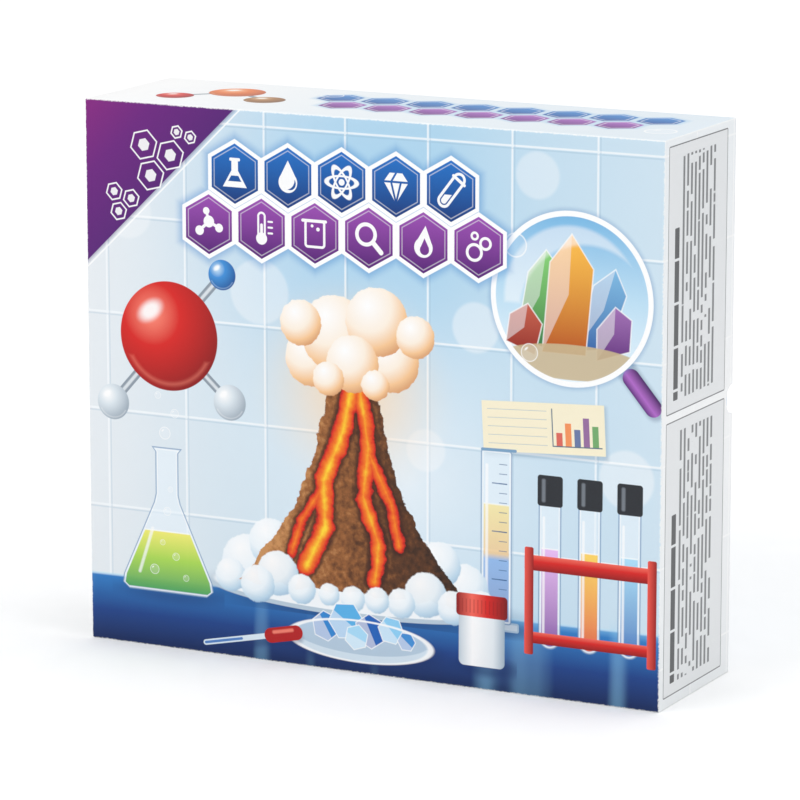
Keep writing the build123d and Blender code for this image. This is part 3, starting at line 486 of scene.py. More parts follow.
@motif
def wall(brush):
    """A wall of pale tiles: a light that changes across it, a soft glow and paired joint lines."""
    finish = brush.finish
    finish.colour = finish.ramp(brush.u * (1 / WIDTH) + 0.5, (0.0, ink("#e8edf1")),
                                (0.3, ink("#d3e4ef")), (0.62, ink("#b9d9ed")),
                                (1.0, ink("#cfe3f0")))
    finish.paint(SKY_BLUE, brush.disc(-18, 245, 50), 80, 0.55)
    finish.paint(ink("#f8fbfd"), brush.disc(24, 105, 40), 85, 0.8)
    finish.paint(JOINT, joints(brush) - 0.55, 0.3, 0.8)
    finish.paint(ink("#8fb2cb"), joints(brush, 10.7, 31.3) - 0.3, 0.4, 0.35)
    for x, y, radius, strength in ((-140, 232, 14, 0.25), (-62, 196, 17, 0.3), (62, 188, 13, 0.35),
                                   (146, 118, 15, 0.35), (34, 122, 11, 0.3), (96, 268, 12, 0.3)):
        finish.paint(WHITE, brush.disc(x, y, radius), 1.2, strength)


@motif
def bench(brush):
    """A blue bench top: bright at its far edge and navy at its near one, with soft gleams."""
    finish = brush.finish
    depth = finish.ramp(brush.v * (1 / 42), (0.0, ink("#0b2557")), (0.4, BENCH_BLUE),
                        (0.85, ink("#2c7ac2")), (1.0, ink("#7fc0ea")))
    top = brush.v - 38 - brush.u * 0.012
    finish.paint(depth, top, 0.5)
    finish.paint(ink("#bfe2f6"), top.line(0.5), 0.6, 0.8)
    gleam = finish.noise(40.0, 1.0, stretch=(1, 1, 12))
    finish.paint(ink("#8fcdf2"), (0.62 - gleam).most(top * 0.01), 0.08, 0.4)


@motif
def corner_flash(brush):
    """A purple triangle in the upper left corner, with rows of small white hexagons."""
    finish = brush.finish
    slope = brush.facet((-166, 203), (-75, 291), (-166, 291))
    inward = (brush.u - brush.v + (HALF_WIDTH + HEIGHT)) * (1 / 92)
    shade = finish.ramp(inward, (0.0, ink("#86207f")), (0.45, ink("#6b1c7d")),
                        (1.0, ink("#551b74")))
    finish.paint(ink("#53307c"), brush.facet((-166, 201.4), (-73.4, 291), (-166, 291)), 1.2, 0.45)
    finish.paint(shade, slope, 0.15)
    turned = brush.at(-121, 247, 44)
    for x, y, reach in ((-28, 6, 5.2), (-17.4, 6, 5.2), (-22.7, 15.2, 5.2), (0, 7, 8),
                        (16.4, 7, 8), (8.2, 21.2, 8), (32, 6, 4), (27.8, 13.2, 4)):
        cell = turned.at(x, y).hexagon(reach)
        finish.paint(WHITE, (cell + 1.1).line(0.38), 0.2, 0.95)
        finish.paint(WHITE, cell + reach * 0.62, 0.2, 0.85)
    finish.paint(WHITE, (slope - 2.4).line(0.4), 0.15, 0.85)


# ---------------------------------------------------------------- pictograms of the honeycomb
# Each sign is a shape about the middle of its cell, within 9 millimetres of it.
def cone_flask_sign(b):
    shape = b.facet((-7, -7), (7, -7), (1.7, 2), (-1.7, 2)).least(b.block(-1.9, 1.9, 0, 7.6))
    shape = shape.least(b.block(-3.1, 3.1, 6.6, 8.2, 0.6))
    return shape.most(-(b.facet((-3.9, -4), (3.9, -4), (2.1, -1), (-2.1, -1))))


def drop_sign(b):
    shape = b.disc(0, -2.3, 5.4).least(b.facet((-4.9, -0.2), (4.9, -0.2), (0, 9)))
    return shape.most(-(b.disc(1.2, -2.8, 3.4).most(1.6 - b.disc(-1.2, -1, 3.4))))


def atom_sign(b):
    shape = b.disc(0, 0, 1.7)
    for turn in (0, 60, 120):
        shape = shape.least(b.oval(0, 0, 8.6, 3.2, turn).line(0.5))
    return shape


def tube_sign(b):
    tube = b.bar((-4, -5), (4.5, 6), 3)
    return tube.line(0.7).least(tube.most(b.v + 0.5) + 1.4).least(b.bar((1.4, 8), (7.4, 3.4), 0.8))


def crystal_sign(b):
    stone = b.facet((0, -8.4), (7, 2.4), (3.6, 7), (-3.6, 7), (-7, 2.4))
    cuts = b.bars(0.55, (-7, 2.4), (7, 2.4)).least(b.bars(0.55, (0, -8.4), (-2.8, 2.4), (0, 7)))
    return stone.most(-cuts.least(b.bars(0.55, (0, -8.4), (2.8, 2.4))))


def lens_sign(b):
    return b.disc(-1.6, 1.8, 5.2).line(1).least(b.bar((2.8, -2.6), (7, -7), 1.3))


def molecule_sign(b):
    links = b.bars(0.8, (-5.5, -3.5), (0, 1.5), (6, -1.5)).least(b.bar((0, 1.5), (-1.5, 7), 0.8))
    return (links.least(b.disc(-5.5, -3.5, 2.5)).least(b.disc(0, 1.5, 3.1))
            .least(b.disc(6, -1.5, 2.3)).least(b.disc(-1.5, 7, 1.9)))


def beaker_sign(b):
    cup = b.block(-5.4, 5.4, -7, 6.4, 1.4)
    return (cup.line(0.65).least(b.bar((-7, 6.4), (6.2, 6.4), 0.8))
            .least(cup.most(b.v + 0.6) + 1.6)
            .least(b.disc(1.8, 2.2, 1)).least(b.disc(-1.6, 3.8, 0.8)))


def flame_sign(b):
    shape = b.disc(0, -2.4, 5.2).least(b.facet((-5, -1.2), (4.8, -0.6), (1.2, 8.8)))
    return shape.most(-b.disc(0.6, -3.6, 2.6).least(b.facet((-1.8, -2.8), (3.2, -2.6), (0.6, 2.4))))


def gauge_sign(b):
    stem = b.bar((0, -4.5), (0, 6.5), 1.9)
    marks = b.bar((4, 1), (6.2, 1), 0.5).least(b.bar((4, 4), (6.2, 4), 0.5))
    return (stem.line(0.55).least(b.disc(0, -5, 3.2)).least(b.bar((0, -4), (0, 2), 0.8))
            .least(marks).least(b.bar((4, -2), (6.2, -2), 0.5)))


def bubbles_sign(b):
    return (b.disc(-2.4, -2.6, 4).line(0.75).least(b.disc(3.8, 2.2, 2.8).line(0.7))
            .least(b.disc(-2.2, 5.8, 1.7).line(0.6)))


CELL_PITCH, CELL_REACH = 31.0, 13.6
# The rows' signs, first cell and height, and the colours at their lower and upper edge
CELL_ROWS = (
    ((cone_flask_sign, drop_sign, atom_sign, crystal_sign, tube_sign), -76, 256.5,
     ink("#053a80"), ink("#1a6fc4")),
    ((molecule_sign, gauge_sign, beaker_sign, lens_sign, flame_sign, bubbles_sign), -91.5, 229.0,
     ink("#5a1d78"), ink("#9a4bb0")),
)


@motif
def honeycomb(brush):
    """Two rows of hexagon cells, blue over purple, each with a white sign in it."""
    finish = brush.finish
    shapes = [brush.cell_row(left, row, len(signs), CELL_PITCH, CELL_REACH)
              for signs, left, row, _, _ in CELL_ROWS]
    both = reduce(Field.least, shapes)
    finish.paint(ink("#3d8fd0"), both - 3.4, 4.2, 0.75)
    finish.paint(WHITE, both - 2.1, 0.25)
    for shape, (_, _, row, low, high) in zip(shapes, CELL_ROWS):
        finish.paint(finish.ramp((brush.v - row) * (1 / 32) + 0.5, (0.1, low), (0.95, high)),
                     shape, 0.15)
        finish.paint(WHITE, (shape + 1.5).line(0.25), 0.25, 0.45)
    for signs, left, row, _, _ in CELL_ROWS:
        for number, sign in enumerate(signs):
            finish.paint(WHITE, sign(brush.at(left + CELL_PITCH * number, row)), 0.16, 0.97)


@motif
def volcano(brush):
    """A model volcano that foams: a rough brown cone, streams of lava and a cloud of foam."""
    finish = brush.finish
    b = brush.at(-8, 42)
    rough = finish.noise(90, 4.0, 0.65)
    fine = finish.noise(350, 3.0, 0.6)
    finish.paint(ink("#ffd9a6"), b.disc(0, 108, 30), 34, 0.75)
    finish.paint(SHADOW, b.oval(4, -5, 86, 11), 4, 0.55)
    finish.paint(ink("#b9cbd9"), b.oval(0, -2, 84, 10.5), 0.25)
    finish.paint(ink("#f4f8fb"), b.oval(0, -0.6, 82, 9.5), 0.3)
    for x, y, radius in ((-62, 10, 15), (64, 9, 14), (-48, 22, 13), (50, 21, 12), (-72, 2, 9),
                         (74, 2, 8)):
        puff(b, x, y, radius, fine, MIST, 0.5, 0.5, 0.96)
    cone = b.vase(112, (0, 0.6), (0.12, 0.5), (0.35, 0.33), (0.65, 0.2), (1, 0.125), smooth=True)
    cone = cone + (rough - 0.5) * 9
    lit = b.u * (1 / 120) + 0.45 + (fine - 0.5) * 0.9 + (rough - 0.5) * 0.7
    finish.paint(finish.ramp(lit, (0.0, ink("#c98f58")), (0.3, ink("#9a6032")),
                             (0.62, ink("#5f371b")), (1.0, ink("#2d1a10"))), cone, 0.35)
    lava = reduce(Field.least, (
        b.bars(5.5, (0, 112), (-6, 84), (-17, 58), (-16, 34), (-27, 12)),
        b.bars(4.4, (4, 110), (9, 78), (6, 52), (15, 28), (13, 8)),
        b.bars(3.4, (9, 76), (22, 50), (27, 28)),
        b.bars(3.0, (-14, 60), (-30, 36), (-36, 18))))
    lava = lava + (rough - 0.5) * 7
    finish.paint(ink("#3a160c"), lava - 1.6, 1.2, 0.8)
    finish.paint(finish.ramp((lava + 6) * (1 / 6), (0.0, YELLOW), (0.45, ORANGE),
                             (0.85, ink("#dd2a17")), (1.0, ink("#9c150f"))), lava, 0.25)
    for x, y, radius in ((-24, 122, 15), (22, 124, 16), (-10, 136, 20), (14, 144, 18),
                         (-30, 140, 12), (36, 138, 11), (0, 121, 15), (-14, 112, 9), (13, 111, 8)):
        puff(b, x, y, radius, fine, FOAM, 0.45, 0.3)
    for x, y, radius in ((-44, 6, 12), (42, 4, 12), (-56, -1, 10), (58, -1, 9), (-30, -1, 8),
                         (28, -2, 8), (0, -3, 7), (-14, -2, 6), (14, -2, 7)):
        puff(b, x, y, radius, fine, MIST, 0.5, 0.5, 0.96)


@motif
def molecule(brush):
    """A ball-and-stick model with one large red ball."""
    finish = brush.finish
    sticks = brush.bars(2.4, (-150, 130), (-116, 168), (-80, 136))
    sticks = sticks.least(brush.bar((-116, 168), (-84, 203), 2.4))
    finish.paint(ink("#8d99a5"), sticks, 0.2)
    finish.paint(ink("#e9eff4"), sticks + 1.5, 0.5, 0.8)
    ball(brush, -150, 130, 9.5, BALL_GREY, BALL_PALE, WHITE)
    ball(brush, -80, 136, 9.5, BALL_GREY, BALL_PALE, WHITE)
    ball(brush, -84, 203, 8, BENCH_BLUE, ink("#3f8fd6"), ink("#c8e6fa"))
    ball(brush, -116, 168, 29, DARK_RED, RED, PINK)


@motif
def crystals_in_lens(brush):
    """A white-rimmed lens with crystals under it, and its handle."""
    finish = brush.finish
    b = brush.at(115, 207)
    finish.paint(ink("#2a4a78"), b.bar((30, -33), (46, -52), 5.6), 1.6, 0.4)
    finish.paint(finish.ramp(b.at(38, -43, 40).u * (1 / 10) + 0.5, (0.0, ink("#4b1d6b")),
                             (0.4, ink("#b06ac6")), (1.0, ink("#3c1658"))),
                 b.bar((33, -37), (45, -51), 4.8), 0.2)
    lens = b.disc(0, 0, 43)
    finish.paint(ink("#4a86bd"), lens - 2.2, 2.5, 0.6)
    finish.paint(WHITE, lens - 1.6, 0.2)
    finish.paint(finish.ramp(b.v * (1 / 86) + 0.5, (0.0, ink("#eaf6fd")), (0.5, ink("#bfe0f4")),
                             (1.0, ink("#77b8e4"))), lens + 1.2, 0.2)
    for points, dark, light in (
            (((-30, -22), (-14, -26), (-6, 14), (-14, 24), (-24, 12)), "#1f6b3c", "#8fdd7a"),
            (((2, -26), (20, -24), (30, 4), (24, 17), (12, 8)), "#1b4f9e", "#8fd0f5"),
            (((-16, -28), (8, -28), (12, 16), (0, 33), (-12, 18)), "#b3430c", "#ffc04a"),
            (((14, -30), (32, -24), (33, -8), (24, -2), (14, -14)), "#5a1d78", "#d59be4"),
            (((-36, -24), (-20, -30), (-16, -14), (-24, -4), (-34, -10)), "#8f1a12", "#ff8a6a")):
        stone = b.facet(*points)
        middle = tuple(np.mean(points, axis=0).tolist())
        light_side = b.facet(points[0], middle, points[3], points[4])
        shade = finish.ramp((b.v + 30) * (1 / 62), (0.0, ink(dark)), (1.0, ink(light)))
        finish.paint(shade, stone, 0.2)
        finish.paint(WHITE, light_side, 0.2, 0.35)
        finish.paint(WHITE, stone.line(0.35), 0.25, 0.65)
    finish.paint(ink("#c9b48c"), b.oval(0, -32, 40, 9).most(lens + 1.2), 0.3, 0.9)
    gleam = b.disc(0, 0, 37).most(38 - b.disc(9, -10, 0))
    finish.paint(WHITE, gleam.most(-b.v - 4), 1.5, 0.45)
    bubble(brush, 84, 232, 6)
    bubble(brush, 92, 178, 4.5)


@motif
def flask_motif(brush):
    """A conical flask with a green and yellow liquid that bubbles."""
    finish = brush.finish
    b = brush.at(-118, 30)
    outline = b.vase(78, (0, 0.3), (0.04, 0.35), (0.1, 0.34), (0.62, 0.1), (0.68, 0.085),
                     (0.97, 0.085), (1, 0.11))
    finish.paint(ink("#0f3472"), b.oval(4, 0, 30, 5), 3, 0.5)
    liquid = finish.ramp(b.v * (1 / 36), (0.0, ink("#1f9a4d")), (0.5, ink("#a5d52e")),
                         (1.0, ink("#fff067")))
    glassware(b, outline, 33, liquid)
    for x, y, radius in ((-8, 12, 2.6), (5, 20, 2), (11, 9, 1.7), (-3, 27, 1.5), (0, 44, 2.2),
                         (2, 56, 1.5), (-1, 86, 3.2), (5, 97, 2.3), (-5, 106, 1.8)):
        bubble(b, x, y, radius)
    finish.paint(WHITE, b.bars(0.9, (-17, 10), (-9, 34)), 0.5, 0.65)


@motif
def rack_motif(brush):
    """A red rack with three capped tubes of coloured liquids."""
    finish = brush.finish
    b = brush.at(126, 20)
    for x, low, high in ((-22, ink("#7a3f9c"), ink("#e7b6f0")),
                         (0, ink("#e8481b"), ink("#ffd24a")),
                         (22, ink("#1b62b8"), ink("#a6dcf7"))):
        outline = b.bar((x, 12), (x, 86), 6)
        glassware(b, outline, 58, finish.ramp(b.v * (1 / 56), (0.1, low), (1.0, high)))
        finish.paint(CAP_BLACK, b.block(x - 7, x + 7, 80, 96, 1.6), 0.2)
        finish.paint(ink("#8e96a0"), b.block(x - 4.6, x - 2.6, 82, 94, 0.8), 0.6, 0.6)
        finish.paint(WHITE, b.bar((x - 3.4, 14), (x - 3.4, 74), 0.7), 0.4, 0.7)
    for low, high in ((46, 54), (8, 14)):
        shelf = b.block(-36, 36, low, high, 1)
        finish.paint(finish.ramp((b.v - low) * (1 / (high - low)), (0.0, SHADED_RED),
                                 (0.6, RED), (1.0, LIT_RED)), shelf, 0.2)
    for x in (-36, 32):
        finish.paint(finish.ramp((b.u - x) * (1 / 5), (0.0, ink("#f0564a")), (1.0, ink("#951214"))),
                     b.block(x, x + 5, 2, 58, 1), 0.2)


@motif
def cylinder_motif(brush):
    """A measuring cylinder with a yellow layer over a blue one, and its scale."""
    finish = brush.finish
    b = brush.at(74, 34)
    finish.paint(SHADOW, b.oval(2, -1, 17, 4), 2.5, 0.5)
    foot = b.block(-13, 13, -2, 3, 1.2)
    finish.paint(ink("#a9c4d9"), foot, 0.2)
    finish.paint(WHITE, foot + 1.2, 0.6, 0.7)
    liquid = finish.ramp(b.v * (1 / 64), (0.0, ink("#0f4fa8")), (0.55, ink("#2f8fe0")),
                         (0.6, ink("#f3b81f")), (1.0, ink("#ffe45c")))
    glassware(b, b.block(-8.5, 8.5, 2, 92, 1.5), 64, liquid)
    marks = (b.v.fold(2.5) - 0.2).most(b.block(-0.5, 6, 14, 86))
    finish.paint(SCALE_BLUE, marks.most(1.5 - b.u), 0.15, 0.8)
    finish.paint(SCALE_BLUE, (b.v.fold(12.5) - 0.3).most(b.block(-2.5, 6, 14, 86)), 0.15, 0.8)
    finish.paint(WHITE, b.bar((-5.4, 8), (-5.4, 84), 0.8), 0.5, 0.7)
    finish.paint(ink("#7ba2c4"), b.bar((-8, 92), (10.5, 92.6), 0.8), 0.2)


@motif
def note(brush):
    """A cream card with ruled lines and a small chart."""
    finish = brush.finish
    b = brush.at(100, 140, 3)
    finish.paint(ink("#6d8ca6"), b.block(-33, 35, -15, 12, 0.6), 2.2, 0.5)
    finish.paint(CREAM, b.block(-34, 34, -13, 13, 0.4), 0.15)
    rules = b.v.fold(2.2)
    finish.paint(ink("#a9bccb"), (rules - 0.14).most(b.block(-31, 2, -10.5, 10.5)), 0.12, 0.9)
    for number, (rise, colour) in enumerate(((7, RED), (12, ORANGE), (9, DEEP_BLUE), (15, PURPLE),
                                             (11, ink("#3b9a4a")))):
        x = 7 + number * 5
        finish.paint(colour, b.block(x, x + 3.4, -9, -9 + rise), 0.12, 0.85)
    finish.paint(ink("#5b7388"), b.bars(0.3, (5, 10), (5, -9), (32, -9)), 0.12)


@motif
def bench_pieces(brush):
    """What stands along the front of the bench: a dish of crystals, a pot and a dropper."""
    finish = brush.finish
    b = brush.at(-4, 14)
    finish.paint(SHADOW, b.oval(3, -1, 44, 10), 3, 0.6)
    finish.paint(ink("#cfe6f6"), b.oval(0, 3, 41, 11), 0.3, 0.75)
    for x, y, reach, turn, colour in ((-20, 9, 7, 10, "#2f86d0"), (-8, 13, 9, 35, "#58b1e8"),
                                      (6, 9, 8, 5, "#1b62b8"), (18, 11, 6.5, 22, "#8fd0f5"),
                                      (-2, 5, 6, 48, "#a9dcf8"), (27, 6, 4.5, 30, "#3f8fd6")):
        stone = b.at(x, y, turn).hexagon(reach)
        finish.paint(ink(colour), stone, 0.2)
        finish.paint(WHITE, stone.most(b.at(x, y, turn + 20).u), 0.3, 0.45)
        finish.paint(WHITE, stone.line(0.3), 0.2, 0.7)
    rim = b.oval(0, 3, 41, 11)
    finish.paint(ink("#eaf6fd"), rim.most(b.v - 3).most(-(b.oval(0, 6, 40, 10))), 0.3, 0.55)
    finish.paint(WHITE, rim.line(0.5), 0.3, 0.9)
    pot = brush.at(66, 12)
    finish.paint(SHADOW, pot.oval(4, 0, 17, 5), 2.5, 0.6)
    body = finish.ramp(pot.u * (1 / 26) + 0.5, (0.0, ink("#c5d2dc")), (0.3, WHITE),
                       (0.75, ink("#e6edf2")), (1.0, ink("#9fb3c3")))
    finish.paint(body, pot.block(-13, 13, 0, 28, 3), 0.2)
    lid = finish.ramp(pot.u * (1 / 28) + 0.5, (0.0, SHADED_RED), (0.3, LIT_RED), (0.6, RED),
                      (1.0, DARK_RED))
    finish.paint(lid, pot.block(-14.5, 14.5, 26, 38, 2), 0.2)
    finish.paint(DARK_RED, (pot.u.fold(1.1) - 0.3).most(pot.block(-14, 14, 28, 35)), 0.3, 0.4)
    dropper = brush.at(-66, 12, 12)
    finish.paint(SHADOW, dropper.bar((-28, -3), (26, -3), 2.4), 2, 0.5)
    finish.paint(ink("#e3f1fa"), dropper.bar((-30, 0), (6, 0), 1.5), 0.2, 0.95)
    finish.paint(ink("#1c6fc0"), dropper.bar((-30, 0), (-8, 0), 0.7), 0.2, 0.9)
    finish.paint(ink("#b5171a"), dropper.bar((10, 0), (25, 0), 4), 0.2)
    finish.paint(PINK, dropper.bar((12, 1.6), (23, 1.6), 0.9), 0.6, 0.8)


def paper_body(finish, brush, folds):
    """The sheet's own look over its print: pale folds at the left, right and upper edge and at the
    foot, partly worn paper and partly a painted highlight of the light along each fold, faint
    fibre and a soft sheen."""
    wear_and_highlight = finish.noise(900.0, 3.0, 0.6)
    left, right, top = folds
    edge = -brush.block(left, right, 0.0, top)
    # A pale band along each fold: worn paper, and a painted highlight that stands in for the light
    # on the fold
    finish.paint(ink("#f4f5f4"), edge - 0.55 + (0.5 - wear_and_highlight) * 1.6, 0.35, 0.85)
    wave = finish.noise(9.0, 1.0)
    fibre = finish.noise(2600.0, 2.0, 0.6)
    finish.relief(wave * 0.9 + fibre * 0.02, 0.0006, 0.35)
    finish.feed("Roughness", finish.span(fibre + wave * 0.5, 0.4, 1.1, 0.3, 0.42))
    return finish.done()


# The panel's motifs in the order of painting, and the part of the panel that each one reaches:
# left, right, low, high
MOTIFS = (
    (bench, (-166, 166, -1, 46)),
    (crystals_in_lens, (64, 166, 140, 256)),
    (note, (60, 140, 120, 162)),
    (molecule, (-166, -68, 116, 214)),
    (cylinder_motif, (56, 90, 28, 130)),
    (volcano, (-104, 90, 28, 214)),
    (rack_motif, (86, 166, 12, 120)),
    (flask_motif, (-152, -84, 18, 140)),
    (bench_pieces, (-104, 86, -1, 54)),
    (honeycomb, (-116, 90, 204, 284)),
    (corner_flash, (-166, -68, 197, 291)),
)


def front_prints():
    """The panel's print as lines that cut it into cells, the material of each cell, and those
    materials. A cell's material draws only the motifs that reach it."""
    across = np.unique([x for _, (left, right, _, _) in MOTIFS for x in (left, right)]).tolist()
    up = np.unique([z for _, (_, _, low, high) in MOTIFS for z in (low, high)]).tolist()
    kinds, cells = {}, np.zeros((len(up) - 1, len(across) - 1), int)
    for row, (low, high) in enumerate(zip(up, up[1:])):
        for column, (left, right) in enumerate(zip(across, across[1:])):
            reached = tuple(number for number, (_, box) in enumerate(MOTIFS)
                            if box[0] < right and left < box[1] and box[2] < high and low < box[3])
            cells[row, column] = kinds.setdefault(reached, len(kinds))
    return (across, up, cells), [front_print(number, reached) for reached, number in kinds.items()]


def printed(name):
    """A finish for printed paper with a thin satin varnish."""
    return Finish(name, Roughness=0.36, Specular_IOR_Level=0.3)


def front_print(number, reached):
    """One cell's print: the tiled wall, and over it the motifs that reach the cell."""
    finish = printed(f"lid_front_print_{number}")
    brush = face_brush(finish, "front")
    wall(brush)
    for each in reached:
        MOTIFS[each][0](brush)
    return paper_body(finish, brush, (-HALF_WIDTH, HALF_WIDTH, HEIGHT))


def top_print():
    """The top wall: the wall's pale light, two rows of small cells and a model molecule."""
    finish = printed("lid_top_print")
    brush = face_brush(finish, "top")
    finish.colour = finish.ramp(brush.u * (1 / WIDTH) + 0.5, (0.0, WHITE),
                                (0.4, ink("#eef4f8")), (1.0, ink("#dfeaf2")))
    for row, left, count, dark, light in ((60, -46, 8, DEEP_BLUE, ink("#3f8fd6")),
                                          (37.5, -33, 7, ink("#6a2583"), ink("#b06ac6"))):
        cells = brush.cell_row(left, row, count, 26.0, 11.0)
        finish.paint(ink("#9cc8e8"), cells - 2, 3, 0.6)
        finish.paint(finish.ramp((brush.v - row) * (1 / 24) + 0.5, (0.0, dark), (1.0, light)),
                     cells, 0.2)
        finish.paint(WHITE, (cells + 2.2).line(0.35), 0.2, 0.7)
    finish.paint(ink("#9aa5ad"), brush.bars(1.7, (-128, 30), (-104, 54), (-78, 36)), 0.3)
    ball(brush, -104, 54, 15, ink("#a8431a"), ink("#ee7f3c"), ink("#ffc79a"))
    ball(brush, -128, 30, 10, DARK_RED, RED, ink("#ff9a86"))
    ball(brush, -78, 36, 11, ink("#6b4426"), ink("#b07c4c"), ink("#e9c79c"))
    for x, y, radius in ((150, 28, 8), (-148, 62, 9), (-54, 66, 6)):
        bubble(brush, x, y, radius, 0.9)
    return paper_body(finish, brush, (-HALF_WIDTH, HALF_WIDTH, DEPTH))


BAR_ROWS = (21.0, 64.2)  # the left and right edge of the rows of bars on a side wall
BAR_PITCH, BAR_HALF_WIDTH = 4.8, 1.15
BREAK_AT, BREAK_EDGE = 0.6, 25  # the noise at which a bar breaks off, and how sharply it does


def side_print(face):
    """A side wall: pale tiles and two framed panels, each with a broken heading bar and rows of
    thin bars. A row's bars are where noise along it is low; the noise's other coordinate is the
    row's own number, so that each row breaks at other places."""
    finish = printed(f"lid_{face}_print")
    brush = face_brush(finish, face)
    finish.colour = finish.ramp(brush.v * (1 / HEIGHT), (0.0, ink("#eceff1")),
                                (0.5, ink("#f6f7f8")), (1.0, ink("#eef2f5")))
    finish.paint(WHITE, joints(brush, 8.0) - 0.5, 0.3, 0.6)
    first, last = BAR_ROWS
    for low, high in ((6, 147), (151.5, 286)):
        panel = brush.block(5, 78, low, high, 0.8)
        finish.paint(ink("#e3e5e7"), panel, 0.2, 0.9)
        finish.paint(ink("#33373c"), panel.line(0.3), 0.15, 0.85)
        rows = (brush.u - (first + BAR_PITCH / 2)).fold(BAR_PITCH / 2) - BAR_HALF_WIDTH
        row_number = finish.sum("SNAP", brush.u - first, BAR_PITCH)
        spot = finish.node("CombineXYZ", row_number * 1.7 + low, brush.v * 0.15)
        breaks = Field(finish, finish.node("TexNoise", spot, None, 1.0, 0.0, 0.5))
        bars = rows.most(brush.block(first, last, low + 6, high - 6))
        bars = bars.most((breaks - BREAK_AT) * BREAK_EDGE)
        finish.paint(ink("#33373d"), bars, 0.2, 0.78)
        heading = brush.block(13, 18.5, low + 6, low + 93, 0.6)
        finish.paint(ink("#1d2024"), heading.most((brush.v - low).fold(11) - 10.3), 0.15, 0.9)
    return paper_body(finish, brush, (0, DEPTH, HEIGHT))


FOLDS_UNWORN_UNHIGHLIGHTED = (-999.0, 999.0, 999.0)  # folds so far off that no band of worn paper and painted highlight along them shows


def plain_paper(name, face, colour, folds, tiled=False):
    """A sheet of one colour, or with the wall's tiles in two pale tones."""
    finish = Finish(name, ink(colour), Roughness=0.4)
    brush = face_brush(finish, face)
    if tiled:
        finish.paint(ink("#c9dced"), -(brush.v - 60), 110, 0.8)
        finish.paint(JOINT, joints(brush) - 0.55, 0.3, 0.8)
        for x, y, radius in ((-96, 208, 17), (-58, 182, 9), (104, 92, 15), (70, 70, 8)):
            bubble(brush, x, y, radius, 0.5)
    return paper_body(finish, brush, folds)


# ---------------------------------------------------------------- surfaces on grids
WELD = 2e-6  # metres within which two points of a surface are one


def grid(points, closed=True, slots=0):
    """A grid of points in millimetres, rows by columns by three, with the material of its faces.
    closed joins the last column to the first."""
    rows, columns = points.shape[:2]
    index = np.arange(rows * columns).reshape(rows, columns)
    if closed:
        index = np.concatenate([index, index[:, :1]], axis=1)
    quads = np.stack([index[:-1, :-1], index[:-1, 1:], index[1:, 1:], index[1:, :-1]], axis=-1)
    quads = quads.reshape(-1, 4)
    return points.reshape(-1, 3), quads, np.broadcast_to(np.asarray(slots).reshape(-1), len(quads))


def skin(name, grids, body, materials, stands_for=(), smooth=True):
    """A piece from one or more grids. Points that fall together, as at a pole or where two grids
    meet, become one, and faces that shrink to nothing there go."""
    firsts = np.cumsum([0] + [len(points) for points, _, _ in grids])
    points = np.concatenate([points for points, _, _ in grids]) * MM
    quads = np.concatenate([quads + first for (_, quads, _), first in zip(grids, firsts)])
    slots = np.concatenate([slots for _, _, slots in grids]).astype(np.int32)
    mesh = bpy.data.meshes.new(name)
    mesh.from_pydata(points.tolist(), [], quads.tolist())
    mesh.polygons.foreach_set("material_index", slots)
    mesh.polygons.foreach_set("use_smooth", np.full(len(quads), smooth))
    for material in materials:
        mesh.materials.append(material)
    joined = bmesh.new()
    joined.from_mesh(mesh)
    bmesh.ops.remove_doubles(joined, verts=joined.verts, dist=WELD)
    bmesh.ops.recalc_face_normals(joined, faces=joined.faces)
    joined.to_mesh(mesh)
    joined.free()
    return placed(name, mesh, body, stands_for)


def in_scene(name, data):
    """A new object in the scene."""
    made = bpy.data.objects.new(name, data)
    bpy.context.scene.collection.objects.link(made)
    return made


def placed(name, mesh, body, stands_for=()):
    """Puts a mesh into the scene as a piece that rides on a body and stands for its nodes."""
    piece = in_scene(name, mesh)
    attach(piece, body)
    if stands_for:
        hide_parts(*stands_for)
    return piece


def rounded_loop(half_x, half_z, corner, across, up, steps=5):
    """A rounded rectangle's outline round (0, MIDDLE), as points (x, z), with points as well at
    the places across its level sides and up its upright ones."""
    turns = np.radians(np.linspace(0, 90, steps + 1))
    arc = np.stack([np.cos(turns), np.sin(turns)], axis=1) * corner
    centre = np.array([half_x - corner, half_z - corner])
    bends = [(arc if number % 2 == 0 else arc[::-1]) * flip + centre * flip
             for number, flip in enumerate(((1, 1), (-1, 1), (-1, -1), (1, -1)))]
    level = np.stack([across, np.full(len(across), half_z)], axis=1)
    upright = np.stack([np.full(len(up), half_x), np.subtract(up, MIDDLE)], axis=1)
    loop = np.concatenate([bends[0], level[::-1], bends[1], upright[::-1] * (-1, 1), bends[2],
                           level * (1, -1), bends[3], upright])
    return loop + (0, MIDDLE)


FOLD = 0.9  # radius of the wrapped edges
FOLD_ROOM = 0.5  # flat beside a fold, so that the fold's shading stays on it
RIM_FOLD = 0.35  # radius of the paper's two edges where it turns in over the rim
RIM_EASE = RIM_FOLD * 0.3  # how far the middle of such an edge lies inside its corner
RIM_BAND = 1.2  # how far before the rim the rows start to follow the notch
PANEL_ROWS, WALL_ROWS = 4, 11  # rows of the section that the panel's and the walls' prints cover
TOP, RIGHT, LEFT, FOOT, INSIDE = range(5)  # the order of a wrap's other prints
NEAR = 1e-6  # millimetres within which a point lies on a side


